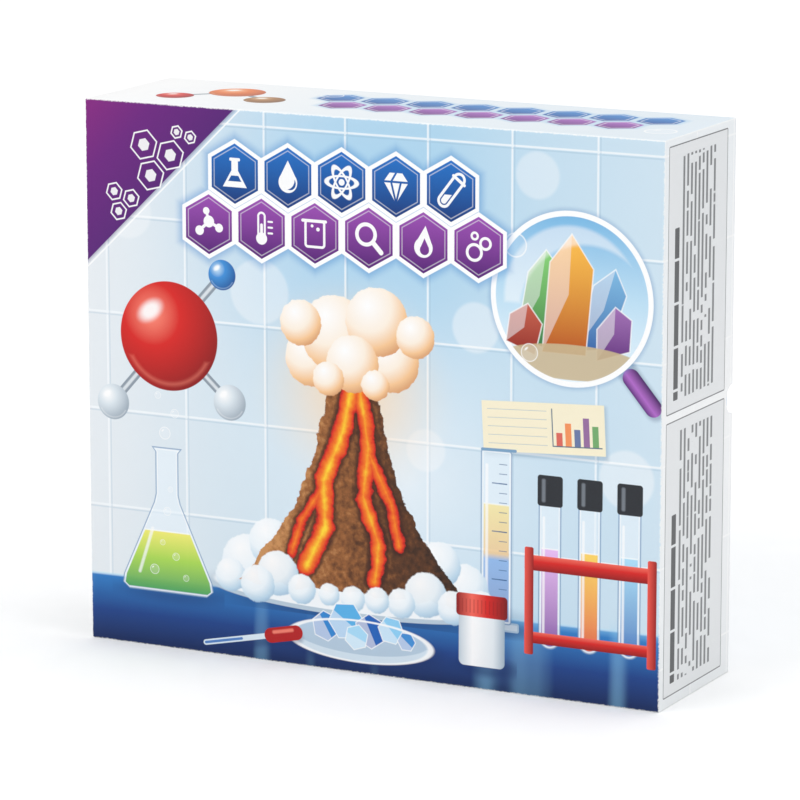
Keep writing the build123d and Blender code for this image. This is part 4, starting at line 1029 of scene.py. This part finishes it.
def paper_wrap(name, inset, panel_y, rim_y, notch, cells, prints, wall_prints, body, stands_for):
    """The paper of a board shell. A section runs from the panel's edge over the fold and the rim
    to the turn-in's end, and back along the glued side to the panel's middle; it is carried
    round the case's outline. At the notch the rim falls back by the height of a circle's arc.
    The panel is a flat grid on the lines that cut its print into cells."""
    across_cuts, up_cuts, cell_prints = cells
    way = 1 if rim_y > panel_y else -1
    half_x, half_z = HALF_WIDTH - inset, MIDDLE - inset
    edge = FOLD + FOLD_ROOM
    notch_up = MIDDLE - notch * np.cos(np.radians(np.linspace(0, 180, 25)))
    across = np.array([x for x in across_cuts if abs(x) < half_x - edge])
    up = np.array([z for z in up_cuts if abs(z - MIDDLE) < half_z - edge])
    up = np.unique(np.concatenate([up, notch_up if notch else [MIDDLE]]))

    # Each row of the section: how far inside the outline, how far along, and whether that is
    # measured from the rim or from the panel
    thick = BOARD + 2 * PAPER
    fold = [(FOLD * (1 - np.sin(a)), FOLD * (1 - np.cos(a)), False)
            for a in np.radians(np.linspace(0, 90, 6))]
    section = [(edge, 0.0, False), *fold, (0.0, edge, False), (0.0, -RIM_BAND, True),
               (0.0, -RIM_FOLD, True), (RIM_EASE, -RIM_EASE, True), (RIM_FOLD, 0.0, True),
               (thick - RIM_FOLD, 0.0, True), (thick - RIM_EASE, -RIM_EASE, True),
               (thick, -RIM_FOLD, True), (thick, -TURN_IN, True), (thick - PAPER, -TURN_IN, True),
               (thick - PAPER, -RIM_FOLD - PAPER, True), (PAPER, -RIM_FOLD - PAPER, True),
               (PAPER, edge, False), (PAPER, FOLD, False), (FOLD, PAPER, False)]
    rows = []
    for inward, along, from_rim in section:
        corner = max(FOLD - inward, 0.0)
        loop = rounded_loop(half_x - inward, half_z - inward, corner, across, up)
        y = np.full(len(loop), panel_y + way * along)
        if from_rim:
            away = np.abs(loop[:, 1] - MIDDLE)
            on_side = np.abs(loop[:, 0]) > half_x - inward - NEAR
            dip = np.sqrt(np.clip(notch ** 2 - away ** 2, 0, None)) * on_side
            y = rim_y + way * (along - dip)
        rows.append(np.stack([loop[:, 0], y, loop[:, 1]], axis=1))
    pole = np.broadcast_to((0, panel_y + way * PAPER, MIDDLE), rows[0].shape)
    band = np.array([*rows, pole])

    def cell_of(x, z):
        column = np.clip(np.searchsorted(across_cuts, x) - 1, 0, len(across_cuts) - 2)
        row = np.clip(np.searchsorted(up_cuts, z) - 1, 0, len(up_cuts) - 2)
        return cell_prints[row, column]

    centre = (band + np.roll(band, -1, axis=1)) / 2
    centre = (centre[:-1] + centre[1:]) / 2
    x, z = centre[..., 0], centre[..., 2]
    up_and_down = np.where(z > MIDDLE, TOP, FOOT)
    left_and_right = np.where(x > 0, RIGHT, LEFT)
    wall = np.where(np.abs(x) - half_x > np.abs(z - MIDDLE) - half_z, left_and_right, up_and_down)
    number = np.arange(len(centre))[:, None]
    slots = np.where(number < PANEL_ROWS, cell_of(x, z),
                     len(prints) + np.where(number < WALL_ROWS, wall, INSIDE))

    flat_x = np.array([edge - half_x, *across, half_x - edge])
    flat_z = np.array([MIDDLE - half_z + edge, *up, MIDDLE + half_z - edge])
    panel = np.stack(np.broadcast_arrays(flat_x[None, :], panel_y, flat_z[:, None]), axis=-1)
    middles = ((flat_x[1:] + flat_x[:-1]) / 2)[None, :], ((flat_z[1:] + flat_z[:-1]) / 2)[:, None]
    return skin(name, [grid(band, slots=slots), grid(panel, False, cell_of(*middles))], body,
                [*prints, *wall_prints], stands_for)


# ---------------------------------------------------------------- finishes of the contents
def moulded(name, colour, shade, roughness=0.32, grain=0.12, **inputs):
    """Moulded plastic: a slow drift of colour, and fine grain in its gloss and relief."""
    finish = Finish(name, Roughness=roughness, **inputs)
    finish.colour = finish.ramp(finish.noise(28.0, 2.0), (0.3, ink(shade)), (0.7, ink(colour)))
    speck = finish.noise(1500.0, 2.0, 0.6)
    finish.feed("Roughness", finish.span(speck, 0.2, 0.8, roughness - 0.06, roughness + 0.1))
    finish.relief(speck, 0.00008, grain)
    return finish.done()


def rubber(name, colour, shade):
    """Matt rubber with bloom in its hollows."""
    finish = Finish(name, Specular_IOR_Level=0.35, Sheen_Weight=0.15)
    bloom = finish.noise(260.0, 4.0, 0.65)
    finish.colour = finish.ramp(bloom, (0.35, ink(shade)), (0.75, ink(colour)))
    finish.feed("Roughness", finish.span(bloom, 0.2, 0.8, 0.5, 0.75))
    finish.relief(bloom, 0.0001, 0.3)
    return finish.done()


def board(name, colour, shade, fibre_scale):
    """Board or plain paper: short fibres and flecks that lie across each other."""
    finish = Finish(name, Roughness=0.85, Specular_IOR_Level=0.2)
    fibre = finish.noise(fibre_scale, 4.0, 0.7, stretch=(3, 1, 1))
    fleck = finish.noise(fibre_scale * 0.6, 3.0, 0.7, stretch=(1, 1, 3), seed=1.0)
    finish.colour = finish.ramp(fibre * 0.6 + fleck * 0.4, (0.36, ink(shade)), (0.6, ink(colour)))
    finish.relief(fibre, 0.0002, 0.35)
    return finish.done()


SCALE_INK = "#1f5fae"


def clear(name, tint, roughness=0.03, print_marks=None):
    """Clear moulded plastic with a faint haze; print_marks draws its printed scale."""
    finish = Finish(name, ink(tint), Transmission_Weight=1.0, IOR=1.46)
    haze = finish.noise(120.0, 3.0, 0.6)
    finish.feed("Roughness", finish.span(haze, 0.45, 0.85, roughness, roughness + 0.07))
    finish.relief(haze, 0.0001, 0.08)
    if print_marks:
        brush = face_brush(finish, "front")
        marks = finish.span(print_marks(brush), -0.06, 0.06, 1.0, 0.0)
        finish.colour = finish.blend(marks, finish.colour, ink(SCALE_INK))
        finish.feed("Transmission Weight", 1.0 - marks)
    return finish.done()


def steel(name):
    """Drawn wire: fine streaks along it in its gloss."""
    finish = Finish(name, ink("#c9ccd0"), Metallic=1.0, Anisotropic=0.4)
    brushed = finish.noise(900.0, 3.0, stretch=(8, 1, 1))
    finish.feed("Roughness", finish.span(brushed, 0.3, 0.7, 0.22, 0.4))
    return finish.done()


SKIN_REACH = 0.5  # how far below a clear wall's surface its print may lie


def on_the_wall(brush, across, x, y, z, outside, narrowing=0.0):
    """The front half of a round piece's outer skin, as a shape: across says which two of the
    brush's directions cross its axis, outside is its radius and narrowing what that loses for
    each millimetre of height."""
    finish = brush.finish
    offset = finish.vector("SUBTRACT", brush.vector, (x, z, FRONT - y))
    from_axis = finish.length("LENGTH", finish.vector("MULTIPLY", offset, across))
    inner = outside - SKIN_REACH - (from_axis + (brush.v - z) * narrowing)
    return inner.most(-finish.length("DOT_PRODUCT", offset, (0, 0, 1)))


def upright_scale(x, y, low, high, outside, narrowing=0.0, pitch=3.0, half_width=5.0):
    """A scale up the front of a round wall: a line at each pitch, and a longer one at each
    fourth."""
    def marks(brush):
        b = brush.at(x, low)
        short = (b.v.fold(pitch / 2) - 0.2).most(b.block(0, half_width, -0.5, high - low))
        long = (b.v.fold(pitch * 2) - 0.26).most(b.block(-half_width * 0.6, half_width, -0.5,
                                                         high - low))
        return short.least(long).most(on_the_wall(brush, (1, 0, 1), x, y, low, outside,
                                                  narrowing))
    return marks


def level_scale(left, right, y, z, outside, pitch=1.6, half_height=3.2):
    """A scale along the front of a level tube."""
    def marks(brush):
        b = brush.at(left, z)
        short = (b.u.fold(pitch / 2) - 0.16).most(b.block(-0.3, right - left, 0, half_height))
        long = (b.u.fold(pitch * 2.5) - 0.22).most(b.block(-0.3, right - left, -half_height * 0.7,
                                                           half_height))
        return short.least(long).most(on_the_wall(brush, (0, 1, 1), left, y, z, outside))
    return marks


# ---------------------------------------------------------------- turned pieces and softened solids
AXES = {  # where a turned piece's two radial directions and its height point
    "z": ((1, 0, 0), (0, 1, 0), (0, 0, 1)),
    "x": ((0, 1, 0), (0, 0, 1), (1, 0, 0)),
    "-y": ((1, 0, 0), (0, 0, 1), (0, -1, 0)),
}
OUTSIDE = 0.93  # the share of the largest radius beyond which a cap is ribbed
SPOUT_SPREAD = 0.2  # the spout's half width as an angle
SOLID_WELD = 1e-6  # metres within which two corners of a solid's triangles are one
FLAT_TURN = np.radians(0.5)  # two faces that meet at less than this are one flat


def eased(profile, radius, steps=4):
    """A profile with every inner corner cut by a short curve: the quadratic curve between the
    points a radius before and after the corner, or half a side where the sides are short."""
    profile = np.asarray(profile, float)
    corner = profile[1:-1]
    before, after = profile[:-2] - corner, profile[2:] - corner

    def towards(side):
        length = np.linalg.norm(side, axis=1, keepdims=True)
        return corner + side / length * np.minimum(radius, length / 2)

    t = np.linspace(0, 1, steps)[None, :, None]
    curve = ((1 - t) ** 2 * towards(before)[:, None] + 2 * t * (1 - t) * corner[:, None]
             + t ** 2 * towards(after)[:, None])
    return np.concatenate([profile[:1], curve.reshape(-1, 2), profile[-1:]])


def turned(name, start, axis, profile, material, stands_for, slot, segments=64, ribs=None,
           spout=None, squeeze=None):
    """A profile of (radius, height) carried round an axis: a point is the start, plus the radius
    times the angle's cosine and sine along the two directions across the axis, plus the height
    along it. ribs = (count, depth, low, high) cuts a wave of that many ribs where the outside
    lies between two heights. spout = (reach, low, radius) draws the wall out to -Y: by reach
    times a bell round that side, growing as the square of the height over low. squeeze flattens
    the piece along Y."""
    radius, height = np.asarray(profile, float).T[..., None]
    angle = np.linspace(0, 2 * np.pi, segments, endpoint=False)[None, :]
    radius = np.broadcast_to(radius, (len(radius), segments)).copy()
    if ribs:
        count, depth, low, high = ribs
        outside = (height > low) & (height < high) & (radius > OUTSIDE * radius.max())
        radius -= outside * depth * (0.5 + 0.5 * np.cos(angle * count))
    if spout:
        reach, low, wall_radius = spout
        bell = np.exp(-((angle - 1.5 * np.pi) / SPOUT_SPREAD) ** 2)
        rise = np.clip((height - low) / (height.max() - low), 0, 1) ** 2
        radius += reach * bell * rise * (radius > 0.5 * wall_radius)
    first, second, up = (np.array(direction, float) for direction in AXES[axis])
    points = ((radius * np.cos(angle))[..., None] * first
              + (radius * np.sin(angle))[..., None] * second + height[..., None] * up)
    if squeeze:
        points[..., 1] *= squeeze
    body = nodes[stands_for[0]]["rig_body"]
    return skin(name, [grid(points + np.array(start))], body, [material], stands_for)


def place_of(node):
    """A node's lowest corner, middle and highest corner, in millimetres."""
    low, high = (np.array(corner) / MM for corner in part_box(node))
    return low, (low + high) / 2, high


def axis_of(node, axis="z"):
    """Where the axis of a round node starts, in millimetres, and its length along that axis."""
    low, middle, high = place_of(node)
    along = np.array(AXES[axis][2], float)
    length = float((high - low) @ abs(along))
    return middle - along * length / 2, length


def quarter(radius, steps):
    """A quarter turn from the axis out to the side, as (radius, height) from its lowest point."""
    bend = np.radians(np.linspace(0, 90, steps))
    return np.stack([radius * np.sin(bend), radius * (1 - np.cos(bend))], axis=1)


def softened(node, material, bevel=0.3, sharp=32):
    """A copy of a solid with its loose corners joined and its flats made whole. Edges sharper than
    an angle keep a crease, and a small round when bevel, in millimetres, is given."""
    mesh = nodes[node].data.copy()
    mesh.name = node + "_skin"
    joined = bmesh.new()
    joined.from_mesh(mesh)
    bmesh.ops.remove_doubles(joined, verts=joined.verts, dist=SOLID_WELD)
    bmesh.ops.dissolve_limit(joined, angle_limit=FLAT_TURN, verts=joined.verts,
                             edges=joined.edges)
    joined.to_mesh(mesh)
    joined.free()
    mesh.materials.clear()
    mesh.materials.append(material)
    mesh.polygons.foreach_set("use_smooth", np.ones(len(mesh.polygons), bool))
    mesh.set_sharp_from_angle(angle=np.radians(sharp))
    piece = placed(node + "_finished", mesh, nodes[node]["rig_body"], [node])
    if bevel:
        edge = piece.modifiers.new("edges", "BEVEL")
        edge.width = bevel * MM
        edge.segments = 2
        edge.limit_method = "ANGLE"
        edge.angle_limit = np.radians(sharp)
        edge.harden_normals = True
    return piece


# ---------------------------------------------------------------- the glassware
# A profile is a list of (radius, height) points in millimetres, from the axis over the outside
# and back to the axis on the inside. A cap's starts at its top.
CLEAR_TINT, SCALE_TINT, THIN_TINT = "#f2f9fc", "#eff8fc", "#f3fafd"
TUBE_OUTER, TUBE_INNER = 8.0, 6.8


def test_tubes():
    """Round-ended tubes, straight to their fire-polished rims, with ribbed push-on caps. The end
    is a quarter turn outside, and another round the same middle inside."""
    glass = clear("tube_plastic", CLEAR_TINT)
    cap = moulded("tube_cap_plastic", "#26282c", "#1b1d20", 0.4)
    outside = quarter(TUBE_OUTER, 12)
    inside = (quarter(TUBE_INNER, 12) + (0, TUBE_OUTER - TUBE_INNER))[::-1]
    for number in (1, 2, 3):
        start, length = axis_of(f"test_tube_{number}")
        rim = eased([(TUBE_OUTER, length - 2), (TUBE_OUTER, length), (TUBE_INNER, length),
                     (TUBE_INNER, length - 2)], 0.5)
        turned(f"tube_{number}", start, "z", np.concatenate([outside, rim, inside]), glass,
               [f"test_tube_{number}"], "clear_plastic")
        start, top = axis_of(f"tube_cap_{number}")
        profile = eased([(0, top), (8.9, top), (9.95, top - 1.2), (9.95, 1.2), (9.6, 0), (8.1, 0),
                         (8.1, top - 2), (0, top - 2)], 0.35)
        turned(f"tube_{number}_cap", start, "z", profile, cap, [f"tube_cap_{number}"], "cap_black",
               segments=144, ribs=(36, 0.35, 1.0, top - 1.4))


def beaker():
    """The beaker: a foot ring, a straight wall and a flared lip, drawn out to a spout. Seven more
    levels between the foot and the lip let the wall bend into the spout."""
    low, middle, high = place_of("beaker")
    radius, lip, wall = 25.0, 26.8, 1.8
    centre = (middle[0], high[1] - lip, low[2])
    height = high[2] - low[2]
    scale = upright_scale(centre[0], centre[1], centre[2] + 12, centre[2] + 56, radius,
                          half_width=6.0)
    profile = eased([(0, 0.6), (20, 0.6), (22, 0), (radius, 0), (radius, height - 3.2),
                     (lip, height - 1.6), (lip - 0.4, height), (radius - wall + 0.6, height),
                     (radius - wall, height - 3), (radius - wall, wall), (0, wall)], 1.1)
    lowest, highest = 8, height - 5
    share = np.linspace(0, 1, 9)[1:-1, None]
    levels = np.array([radius, lowest]) * (1 - share) + np.array([radius, highest]) * share
    wall_start = np.argmax((profile[:, 1] > lowest) & (profile[:, 0] > radius - wall))
    turned("beaker_finished", centre, "z", np.insert(profile, wall_start, levels, axis=0),
           clear("beaker_plastic", SCALE_TINT, print_marks=scale), ["beaker"], "clear_plastic",
           segments=128, spout=(2.3, height * 0.78, radius))


def flask():
    """The conical flask: a rounded heel and shoulder, a beaded neck and its rubber stopper."""
    start, _ = axis_of("flask")
    heel, neck, bead, shoulder = 25.0, 10.0, 11.5, 55.0
    narrowing = (heel - neck) / (shoulder - 4)
    scale = upright_scale(start[0], start[1], start[2] + 10, start[2] + 40, 23.2,
                          narrowing=narrowing)
    profile = eased([(0, 0.8), (20, 0.8), (heel, 0), (heel, 4), (neck, shoulder), (neck, 72.6),
                     (bead, 73), (bead, 76), (8.6, 76), (8.6, shoulder + 1), (22.6, 5), (20, 1.9),
                     (0, 1.9)], 2.4, 7)
    turned("flask_finished", start, "z", profile,
           clear("flask_plastic", SCALE_TINT, print_marks=scale), ["flask"], "clear_plastic",
           segments=96)
    start, top = axis_of("flask_stopper")
    profile = eased([(0, 0), (7.9, 0), (8.5, top - 9), (9.9, top - 8.9), (9.9, top), (0, top)], 0.6)
    turned("stopper_finished", start, "z", profile,
           rubber("stopper_rubber_grain", "#3a3c40", "#232528"), ["flask_stopper"],
           "stopper_rubber")


def dish():
    """The dish and its cover: two flat cups, one upside down over the other, towards the front."""
    glass = clear("dish_plastic", THIN_TINT)
    dish_radius, dish_depth, cover_radius, wall = 29.0, 12.0, 30.6, 1.2
    start, _ = axis_of("petri_dish", "-y")
    profile = eased([(0, 0), (dish_radius, 0), (dish_radius, dish_depth),
                     (dish_radius - wall, dish_depth), (dish_radius - wall, wall), (0, wall)], 0.5)
    turned("dish_base", start, "-y", profile, glass, ["petri_dish"], "clear_plastic", segments=128)
    start, depth = axis_of("petri_lid", "-y")
    profile = eased([(0, depth), (cover_radius, depth), (cover_radius, 0),
                     (cover_radius - wall, 0), (cover_radius - wall, depth - wall),
                     (0, depth - wall)], 0.5)
    turned("dish_cover", start, "-y", profile, glass, ["petri_lid"], "clear_plastic", segments=128)


def pots():
    """Two sample pots of milky plastic, with ribbed screw caps, one white and one red."""
    milk = moulded("pot_plastic", "#f4f6f6", "#e6eaec", 0.34, Subsurface_Weight=0.25)
    caps = (moulded("white_cap_plastic", "#f7f8f8", "#eaedee", 0.3),
            moulded("red_cap_plastic", "#d2231f", "#b51a18", 0.3))
    for number, (cap, slot) in enumerate(zip(caps, ("cap_white", "cap_red")), 1):
        start, top = axis_of(f"sample_pot_{number}")
        profile = eased([(0, 0.8), (10, 0.8), (11, 0), (13.4, 0), (13.5, top), (12.2, top),
                         (12.2, 1.4), (0, 1.4)], 0.7)
        turned(f"pot_{number}", start, "z", profile, milk, [f"sample_pot_{number}"], "pot_white",
               segments=96)
        start, top = axis_of(f"sample_pot_cap_{number}")
        profile = eased([(0, top), (14.1, top), (15.25, top - 1.1), (15.25, 1.4), (14.9, 0),
                         (13.95, 0), (13.95, top - 1.5), (0, top - 1.5)], 0.4)
        turned(f"pot_{number}_cap", start, "z", profile, cap, [f"sample_pot_cap_{number}"], slot,
               segments=192, ribs=(48, 0.35, 1.0, top - 1.3))


# ---------------------------------------------------------------- the tools
def syringe():
    """The barrel with its scale, the plunger, and a seal with a shallow nose and two lips."""
    low, middle, high = place_of("syringe_barrel")
    barrel_radius, nozzle = 7.0, 9.0
    scale = level_scale(low[0] + nozzle + 6, high[0] - 8, middle[1], middle[2], barrel_radius)
    softened("syringe_barrel", clear("barrel_plastic", CLEAR_TINT, print_marks=scale),
             0.25)
    softened("syringe_plunger", moulded("plunger_plastic", "#3f8fd0", "#2f78b8", 0.35),
             0.2)
    start, length = axis_of("syringe_seal", "x")
    lip, groove = 6.0, 5.4
    profile = eased([(0, 0), (2, 0.1), (lip, 1.4), (lip, 2.6), (groove, 3.2), (groove, 5.0),
                     (lip, 5.6), (lip, length), (0, length)], 0.4)
    turned("seal_finished", (start[0], middle[1], middle[2]), "x", profile,
           rubber("seal_rubber_grain", "#2b2d30", "#17181a"), ["syringe_seal"], "seal_rubber")


def rod():
    """The stirring rod: a straight rod with a quarter turn at each end."""
    start, length = axis_of("stirring_rod", "x")
    nose = quarter(2.5, 7)
    profile = np.concatenate([nose, (nose * (1, -1) + (0, length))[::-1]])
    turned("rod_finished", start, "x", profile,
           moulded("rod_plastic", "#d4241f", "#b81b18", 0.25), ["stirring_rod"], "tool_red")


def dropper():
    """The dropper: a drawn tip, a stem, a ring and a bulb. The bulb's radius swells by a sine
    raised to 0.6 over the first four fifths of its length, and an oval quarter closes it."""
    start, height = axis_of("dropper")
    stem_radius, neck_radius, bulb_length, crown_height = 1.8, 4.4, 28.0, 6.0
    shoulder = height - crown_height
    share = np.linspace(0, 1, 24)
    swell = 2.05 * np.sin(np.pi * np.clip(share * 1.25, 0, 1)) ** 0.6
    bulb = np.stack([neck_radius + swell, shoulder - bulb_length * (1 - share)], axis=1)
    bend = np.radians(np.linspace(0, 90, 8))
    crown = np.stack([neck_radius * np.cos(bend), shoulder + crown_height * np.sin(bend)], axis=1)
    ring = np.array([(3.6, height - 37), (4.6, height - 36.5), (4.6, height - 35.5),
                     (3.9, height - 35)])
    stem = eased([(1.1, 0), (stem_radius, 0), (stem_radius, 26), (3.6, 31), (3.6, height - 38)],
                 1.5)
    profile = np.concatenate([[(0, 0)], stem, ring, bulb, crown])
    turned("dropper_finished", start, "z", profile, clear("dropper_plastic", "#e6f1f8", 0.12),
           ["dropper"], "clear_plastic")


def rack_and_hand_tools():
    """The red rack's four plates, the tweezers and the spoon, each with small rounds."""
    red = moulded("rack_plastic", "#cf2420", "#b31b19", 0.28)
    for node in ("rack_lower_shelf", "rack_upper_shelf", "rack_left_end", "rack_right_end"):
        softened(node, red, 0.5)
    softened("tweezers", moulded("tweezer_plastic", "#2b2f36", "#1f2228", 0.4), 0.5)
    softened("measuring_spoon", moulded("spoon_plastic", "#2f86d0", "#2673b8", 0.3),
             0.35)


STRAP_BLUE = "#2f78c0"


def goggles():
    """Goggles: a soft clear frame, a clear lens, vents and clips, and an elastic strap with three
    stripes. The strap's weave is the product of two folded distances, across it and along it."""
    softened("goggles_frame", clear("goggles_plastic", "#b4d6ee", 0.16), 0.6, 40)
    softened("goggles_lens", clear("lens_plastic", "#e9f5fb", 0.01), 0.2, 40)
    blue = moulded("clip_plastic", STRAP_BLUE, "#2565a8", 0.3)
    softened("goggles_clips", blue, 0.5)
    softened("goggles_vents", blue, 0.4)
    middle = place_of("goggles_strap")[1]
    finish = Finish("strap_weave", ink("#eef1f4"), Roughness=0.8, Sheen_Weight=0.3)
    brush = face_brush(finish, "front").at(0, float(middle[2]))
    along = brush.u - finish.length("DOT_PRODUCT", brush.vector, (0, 0, 1))
    for from_middle, half_width in ((0.0, 2.4), (6.4, 0.7)):
        finish.paint(ink(STRAP_BLUE), abs(abs(brush.v) - from_middle) - half_width, 0.15)
    rib_reach, weft_reach = 0.55, 0.7
    rib = brush.v.fold(rib_reach) * (1 / rib_reach)
    weft = along.fold(weft_reach) * (1 / weft_reach)
    finish.colour = finish.blend(rib * weft * 0.35, finish.colour, ink("#8f9aa6"))
    finish.relief(rib * 0.6 + weft * 0.4, 0.0003, 0.7)
    softened("goggles_strap", finish.done(), 0.3, 40)


# A balloon's neck and what its body adds to that, as radii; the shares of its length where the
# neck ends, the crown starts and the lip is
NECK_RADIUS, BODY_SWELL = 3.4, 8.5
NECK_END, CROWN_START, LIP_AT = 0.14, 0.76, 0.012


def balloons():
    """Two flat balloons, pressed from a round form. Its radius goes from the neck's to the body's
    by half a cosine wave, closes as a quarter of an oval, and has a small bell at the lip."""
    skin_finish = rubber("balloon_skin", "#d8302a", "#b32120")
    for number in (1, 2):
        start, length = axis_of(f"balloon_{number}")
        share = np.linspace(0, 1, 40)
        widening = np.clip((share - NECK_END) / (CROWN_START - NECK_END), 0, 1)
        body = NECK_RADIUS + BODY_SWELL * (1 - np.cos(np.pi * widening)) / 2
        closing = np.clip(share - CROWN_START, 0, 1) / (1 - CROWN_START)
        crown = np.sqrt(np.clip(1 - closing ** 2, 0, 1))
        lip = 0.6 * np.exp(-((share - LIP_AT) / LIP_AT) ** 2)
        profile = np.stack([(body + lip) * crown, share * length], axis=1)
        profile = np.concatenate([[(0, 0)], profile])
        turned(f"balloon_{number}_finished", start, "z", profile, skin_finish,
               [f"balloon_{number}"], "balloon_rubber", squeeze=0.08)


# ---------------------------------------------------------------- papers, booklet, boards and tray
def papers():
    """The printed paper of the lid and the tiled paper of the base."""
    cells, panel_prints = front_prints()
    turn_in = plain_paper("turned_in_paper", "bottom", "#f1f2f1", FOLDS_UNWORN_UNHIGHLIGHTED)
    foot_print = plain_paper("lid_bottom_print", "bottom", "#e9edf0",
                             (-HALF_WIDTH, HALF_WIDTH, DEPTH))
    wall_prints = [top_print(), side_print("right"), side_print("left"), foot_print, turn_in]
    paper_wrap("lid_paper", 0.0, FRONT, LID_RIM, NOTCH_RADIUS, cells, panel_prints, wall_prints,
               "lid", ["lid_wrap"])
    one_cell = ([-HALF_WIDTH, HALF_WIDTH], [0.0, HEIGHT], np.zeros((1, 1), int))
    base_print = plain_paper("base_print", "back", "#e6edf4", (-HALF_WIDTH, HALF_WIDTH, HEIGHT),
                             tiled=True)
    paper_wrap("base_paper", BASE_INSET, BACK, BASE_RIM, 0.0, one_cell, [base_print],
               [base_print] * 4 + [turn_in], "base", ["base_wrap"])


def dress(node, material):
    """Gives a solid that keeps its own shape a finish."""
    nodes[node].material_slots[0].material = material


def booklet():
    """The instructions: a cover with the case's tiles, bench and glassware under a purple band."""
    finish = Finish("booklet_cover_print", Roughness=0.35)
    low, _, high = place_of("booklet_cover")
    # The cover lies behind the front's plane, so the brush's way out of the plane is dropped
    flat = finish.vector("MULTIPLY", face_brush(finish, "front").vector, (1, 1, 0))
    brush = Brush(finish, flat)
    wall(brush)
    bench(brush.at(0, float(low[2])))
    for draw, x, y in ((flask_motif, 26, 10), (rack_motif, -28, 14), (molecule, 112, -36)):
        draw(brush.at(x, y))
    band = brush.block(-150, 150, float(high[2]) - 34, float(high[2]) - 14)
    finish.paint(PURPLE, band, 0.2)
    finish.paint(WHITE, (band + 2.0).line(0.3), 0.2, 0.8)
    softened("booklet_cover", finish.done(), 0.0)
    dress("booklet_pages", board("booklet_paper", "#f6f5f0", "#ecebe4", 900.0))
    dress("booklet_staples", steel("staple_steel"))


def boards_and_tray():
    """The greyboard shells and their corner stays as they are, and the tray with softer edges."""
    grey = board("case_greyboard", "#b9b4aa", "#9f9a90", 420.0)
    tape = board("corner_tape", "#c8a878", "#b69462", 700.0)
    for shell in ("lid", "base"):
        dress(shell + "_board", grey)
        dress(shell + "_corner_stays", tape)
    softened("insert_tray", moulded("tray_plastic", "#f1f3f4", "#e6eaec", 0.3, 0.4),
             0.3)


# ---------------------------------------------------------------- camera, lights and floor
AZIMUTH, ELEVATION = np.radians(27.0), np.radians(11.8)
LENS, SENSOR = 207.0, 36.0
SPAN = 0.33  # the case's width in metres, the measure of the camera's place
CAMERA_RIGHT, CAMERA_AWAY = 0.052 * SPAN, 7.125 * SPAN
# Name, place, aim, size and power of each lamp
LAMPS = (
    ("key_lamp", (-0.7, -1.5, 1.4), (0, 0, 0.12), 1.3, 11.5),
    ("fill_lamp", (1.8, -0.5, 0.8), (0, 0, 0.14), 1.2, 6.5),
    ("top_lamp", (0.2, 0.3, 1.8), (0, 0, 0.2), 1.4, 9.0),
)
SURROUND_LIGHT, SURROUND_SEEN = 0.62, 1.0
FLOOR_REACH = 6.0
FLOOR_GLOW = (0.2, 1.6, 0.12, 0.45)  # between which distances it grows, and its two strengths


def camera():
    """A long lens that looks at the middle of the panel from the right and a little above."""
    right = Vector((np.cos(AZIMUTH), np.sin(AZIMUTH), 0))
    ahead = Vector((-np.sin(AZIMUTH) * np.cos(ELEVATION), np.cos(AZIMUTH) * np.cos(ELEVATION),
                    -np.sin(ELEVATION)))
    spot = Vector((0, FRONT * MM, MIDDLE * MM)) + right * CAMERA_RIGHT - ahead * CAMERA_AWAY
    made = in_scene("camera", bpy.data.cameras.new("camera"))
    made.data.lens = LENS
    made.data.sensor_width = SENSOR
    turn = Matrix((right, right.cross(ahead), -ahead)).transposed().to_4x4()
    made.matrix_world = Matrix.Translation(spot) @ turn
    bpy.context.scene.camera = made


def lamps():
    """Square lamps, each turned towards what it lights."""
    for name, place, aim, size, power in LAMPS:
        lamp = in_scene(name, bpy.data.lights.new(name, "AREA"))
        lamp.data.size = size
        lamp.data.energy = power
        lamp.location = place
        lamp.rotation_euler = (Vector(aim) - Vector(place)).to_track_quat("-Z", "Y").to_euler()


def surround():
    """An even pale light from all sides, white where it is seen directly or through plastic."""
    world = bpy.data.worlds.new("surround")
    world.use_nodes = True
    layer = Layer(world.node_tree, WHITE)
    path = layer.tree.nodes.new("ShaderNodeLightPath")
    seen = layer.sum("MAXIMUM", path.outputs["Is Camera Ray"], path.outputs["Is Transmission Ray"])
    background = layer.tree.nodes["Background"]
    background.inputs["Color"].default_value = WHITE
    layer.join(layer.node("MapRange", seen, 0.0, 1.0, SURROUND_LIGHT, SURROUND_SEEN),
               background.inputs["Strength"])
    bpy.context.scene.world = world


def floor():
    """A white floor that glows a little for the camera, more so further out, where the lamps'
    light falls off."""
    finish = Finish("floor_white", Roughness=0.9)
    finish.colour = finish.ramp(finish.noise(60.0), (0.3, ink("#f6f7f8")), (0.7, ink("#f9fafb")))
    seen = Field(finish, finish.node("LightPath"))
    finish.shader.inputs["Emission Color"].default_value = WHITE
    away = finish.length("LENGTH", finish.place())
    finish.feed("Emission Strength", seen * finish.span(away, *FLOOR_GLOW))
    corners = [(-FLOOR_REACH, -FLOOR_REACH, 0), (FLOOR_REACH, -FLOOR_REACH, 0),
               (FLOOR_REACH, FLOOR_REACH, 0), (-FLOOR_REACH, FLOOR_REACH, 0)]
    mesh = bpy.data.meshes.new("floor")
    mesh.from_pydata(corners, [], [(0, 1, 2, 3)])
    mesh.materials.append(finish.done())
    in_scene("floor", mesh)


# ---------------------------------------------------------------- the scene, piece by piece
camera()
lamps()
surround()
floor()
bpy.context.scene.view_settings.view_transform = "Standard"

papers()
boards_and_tray()
booklet()
test_tubes()
beaker()
flask()
dish()
pots()
syringe()
rod()
dropper()
rack_and_hand_tools()
goggles()
balloons()
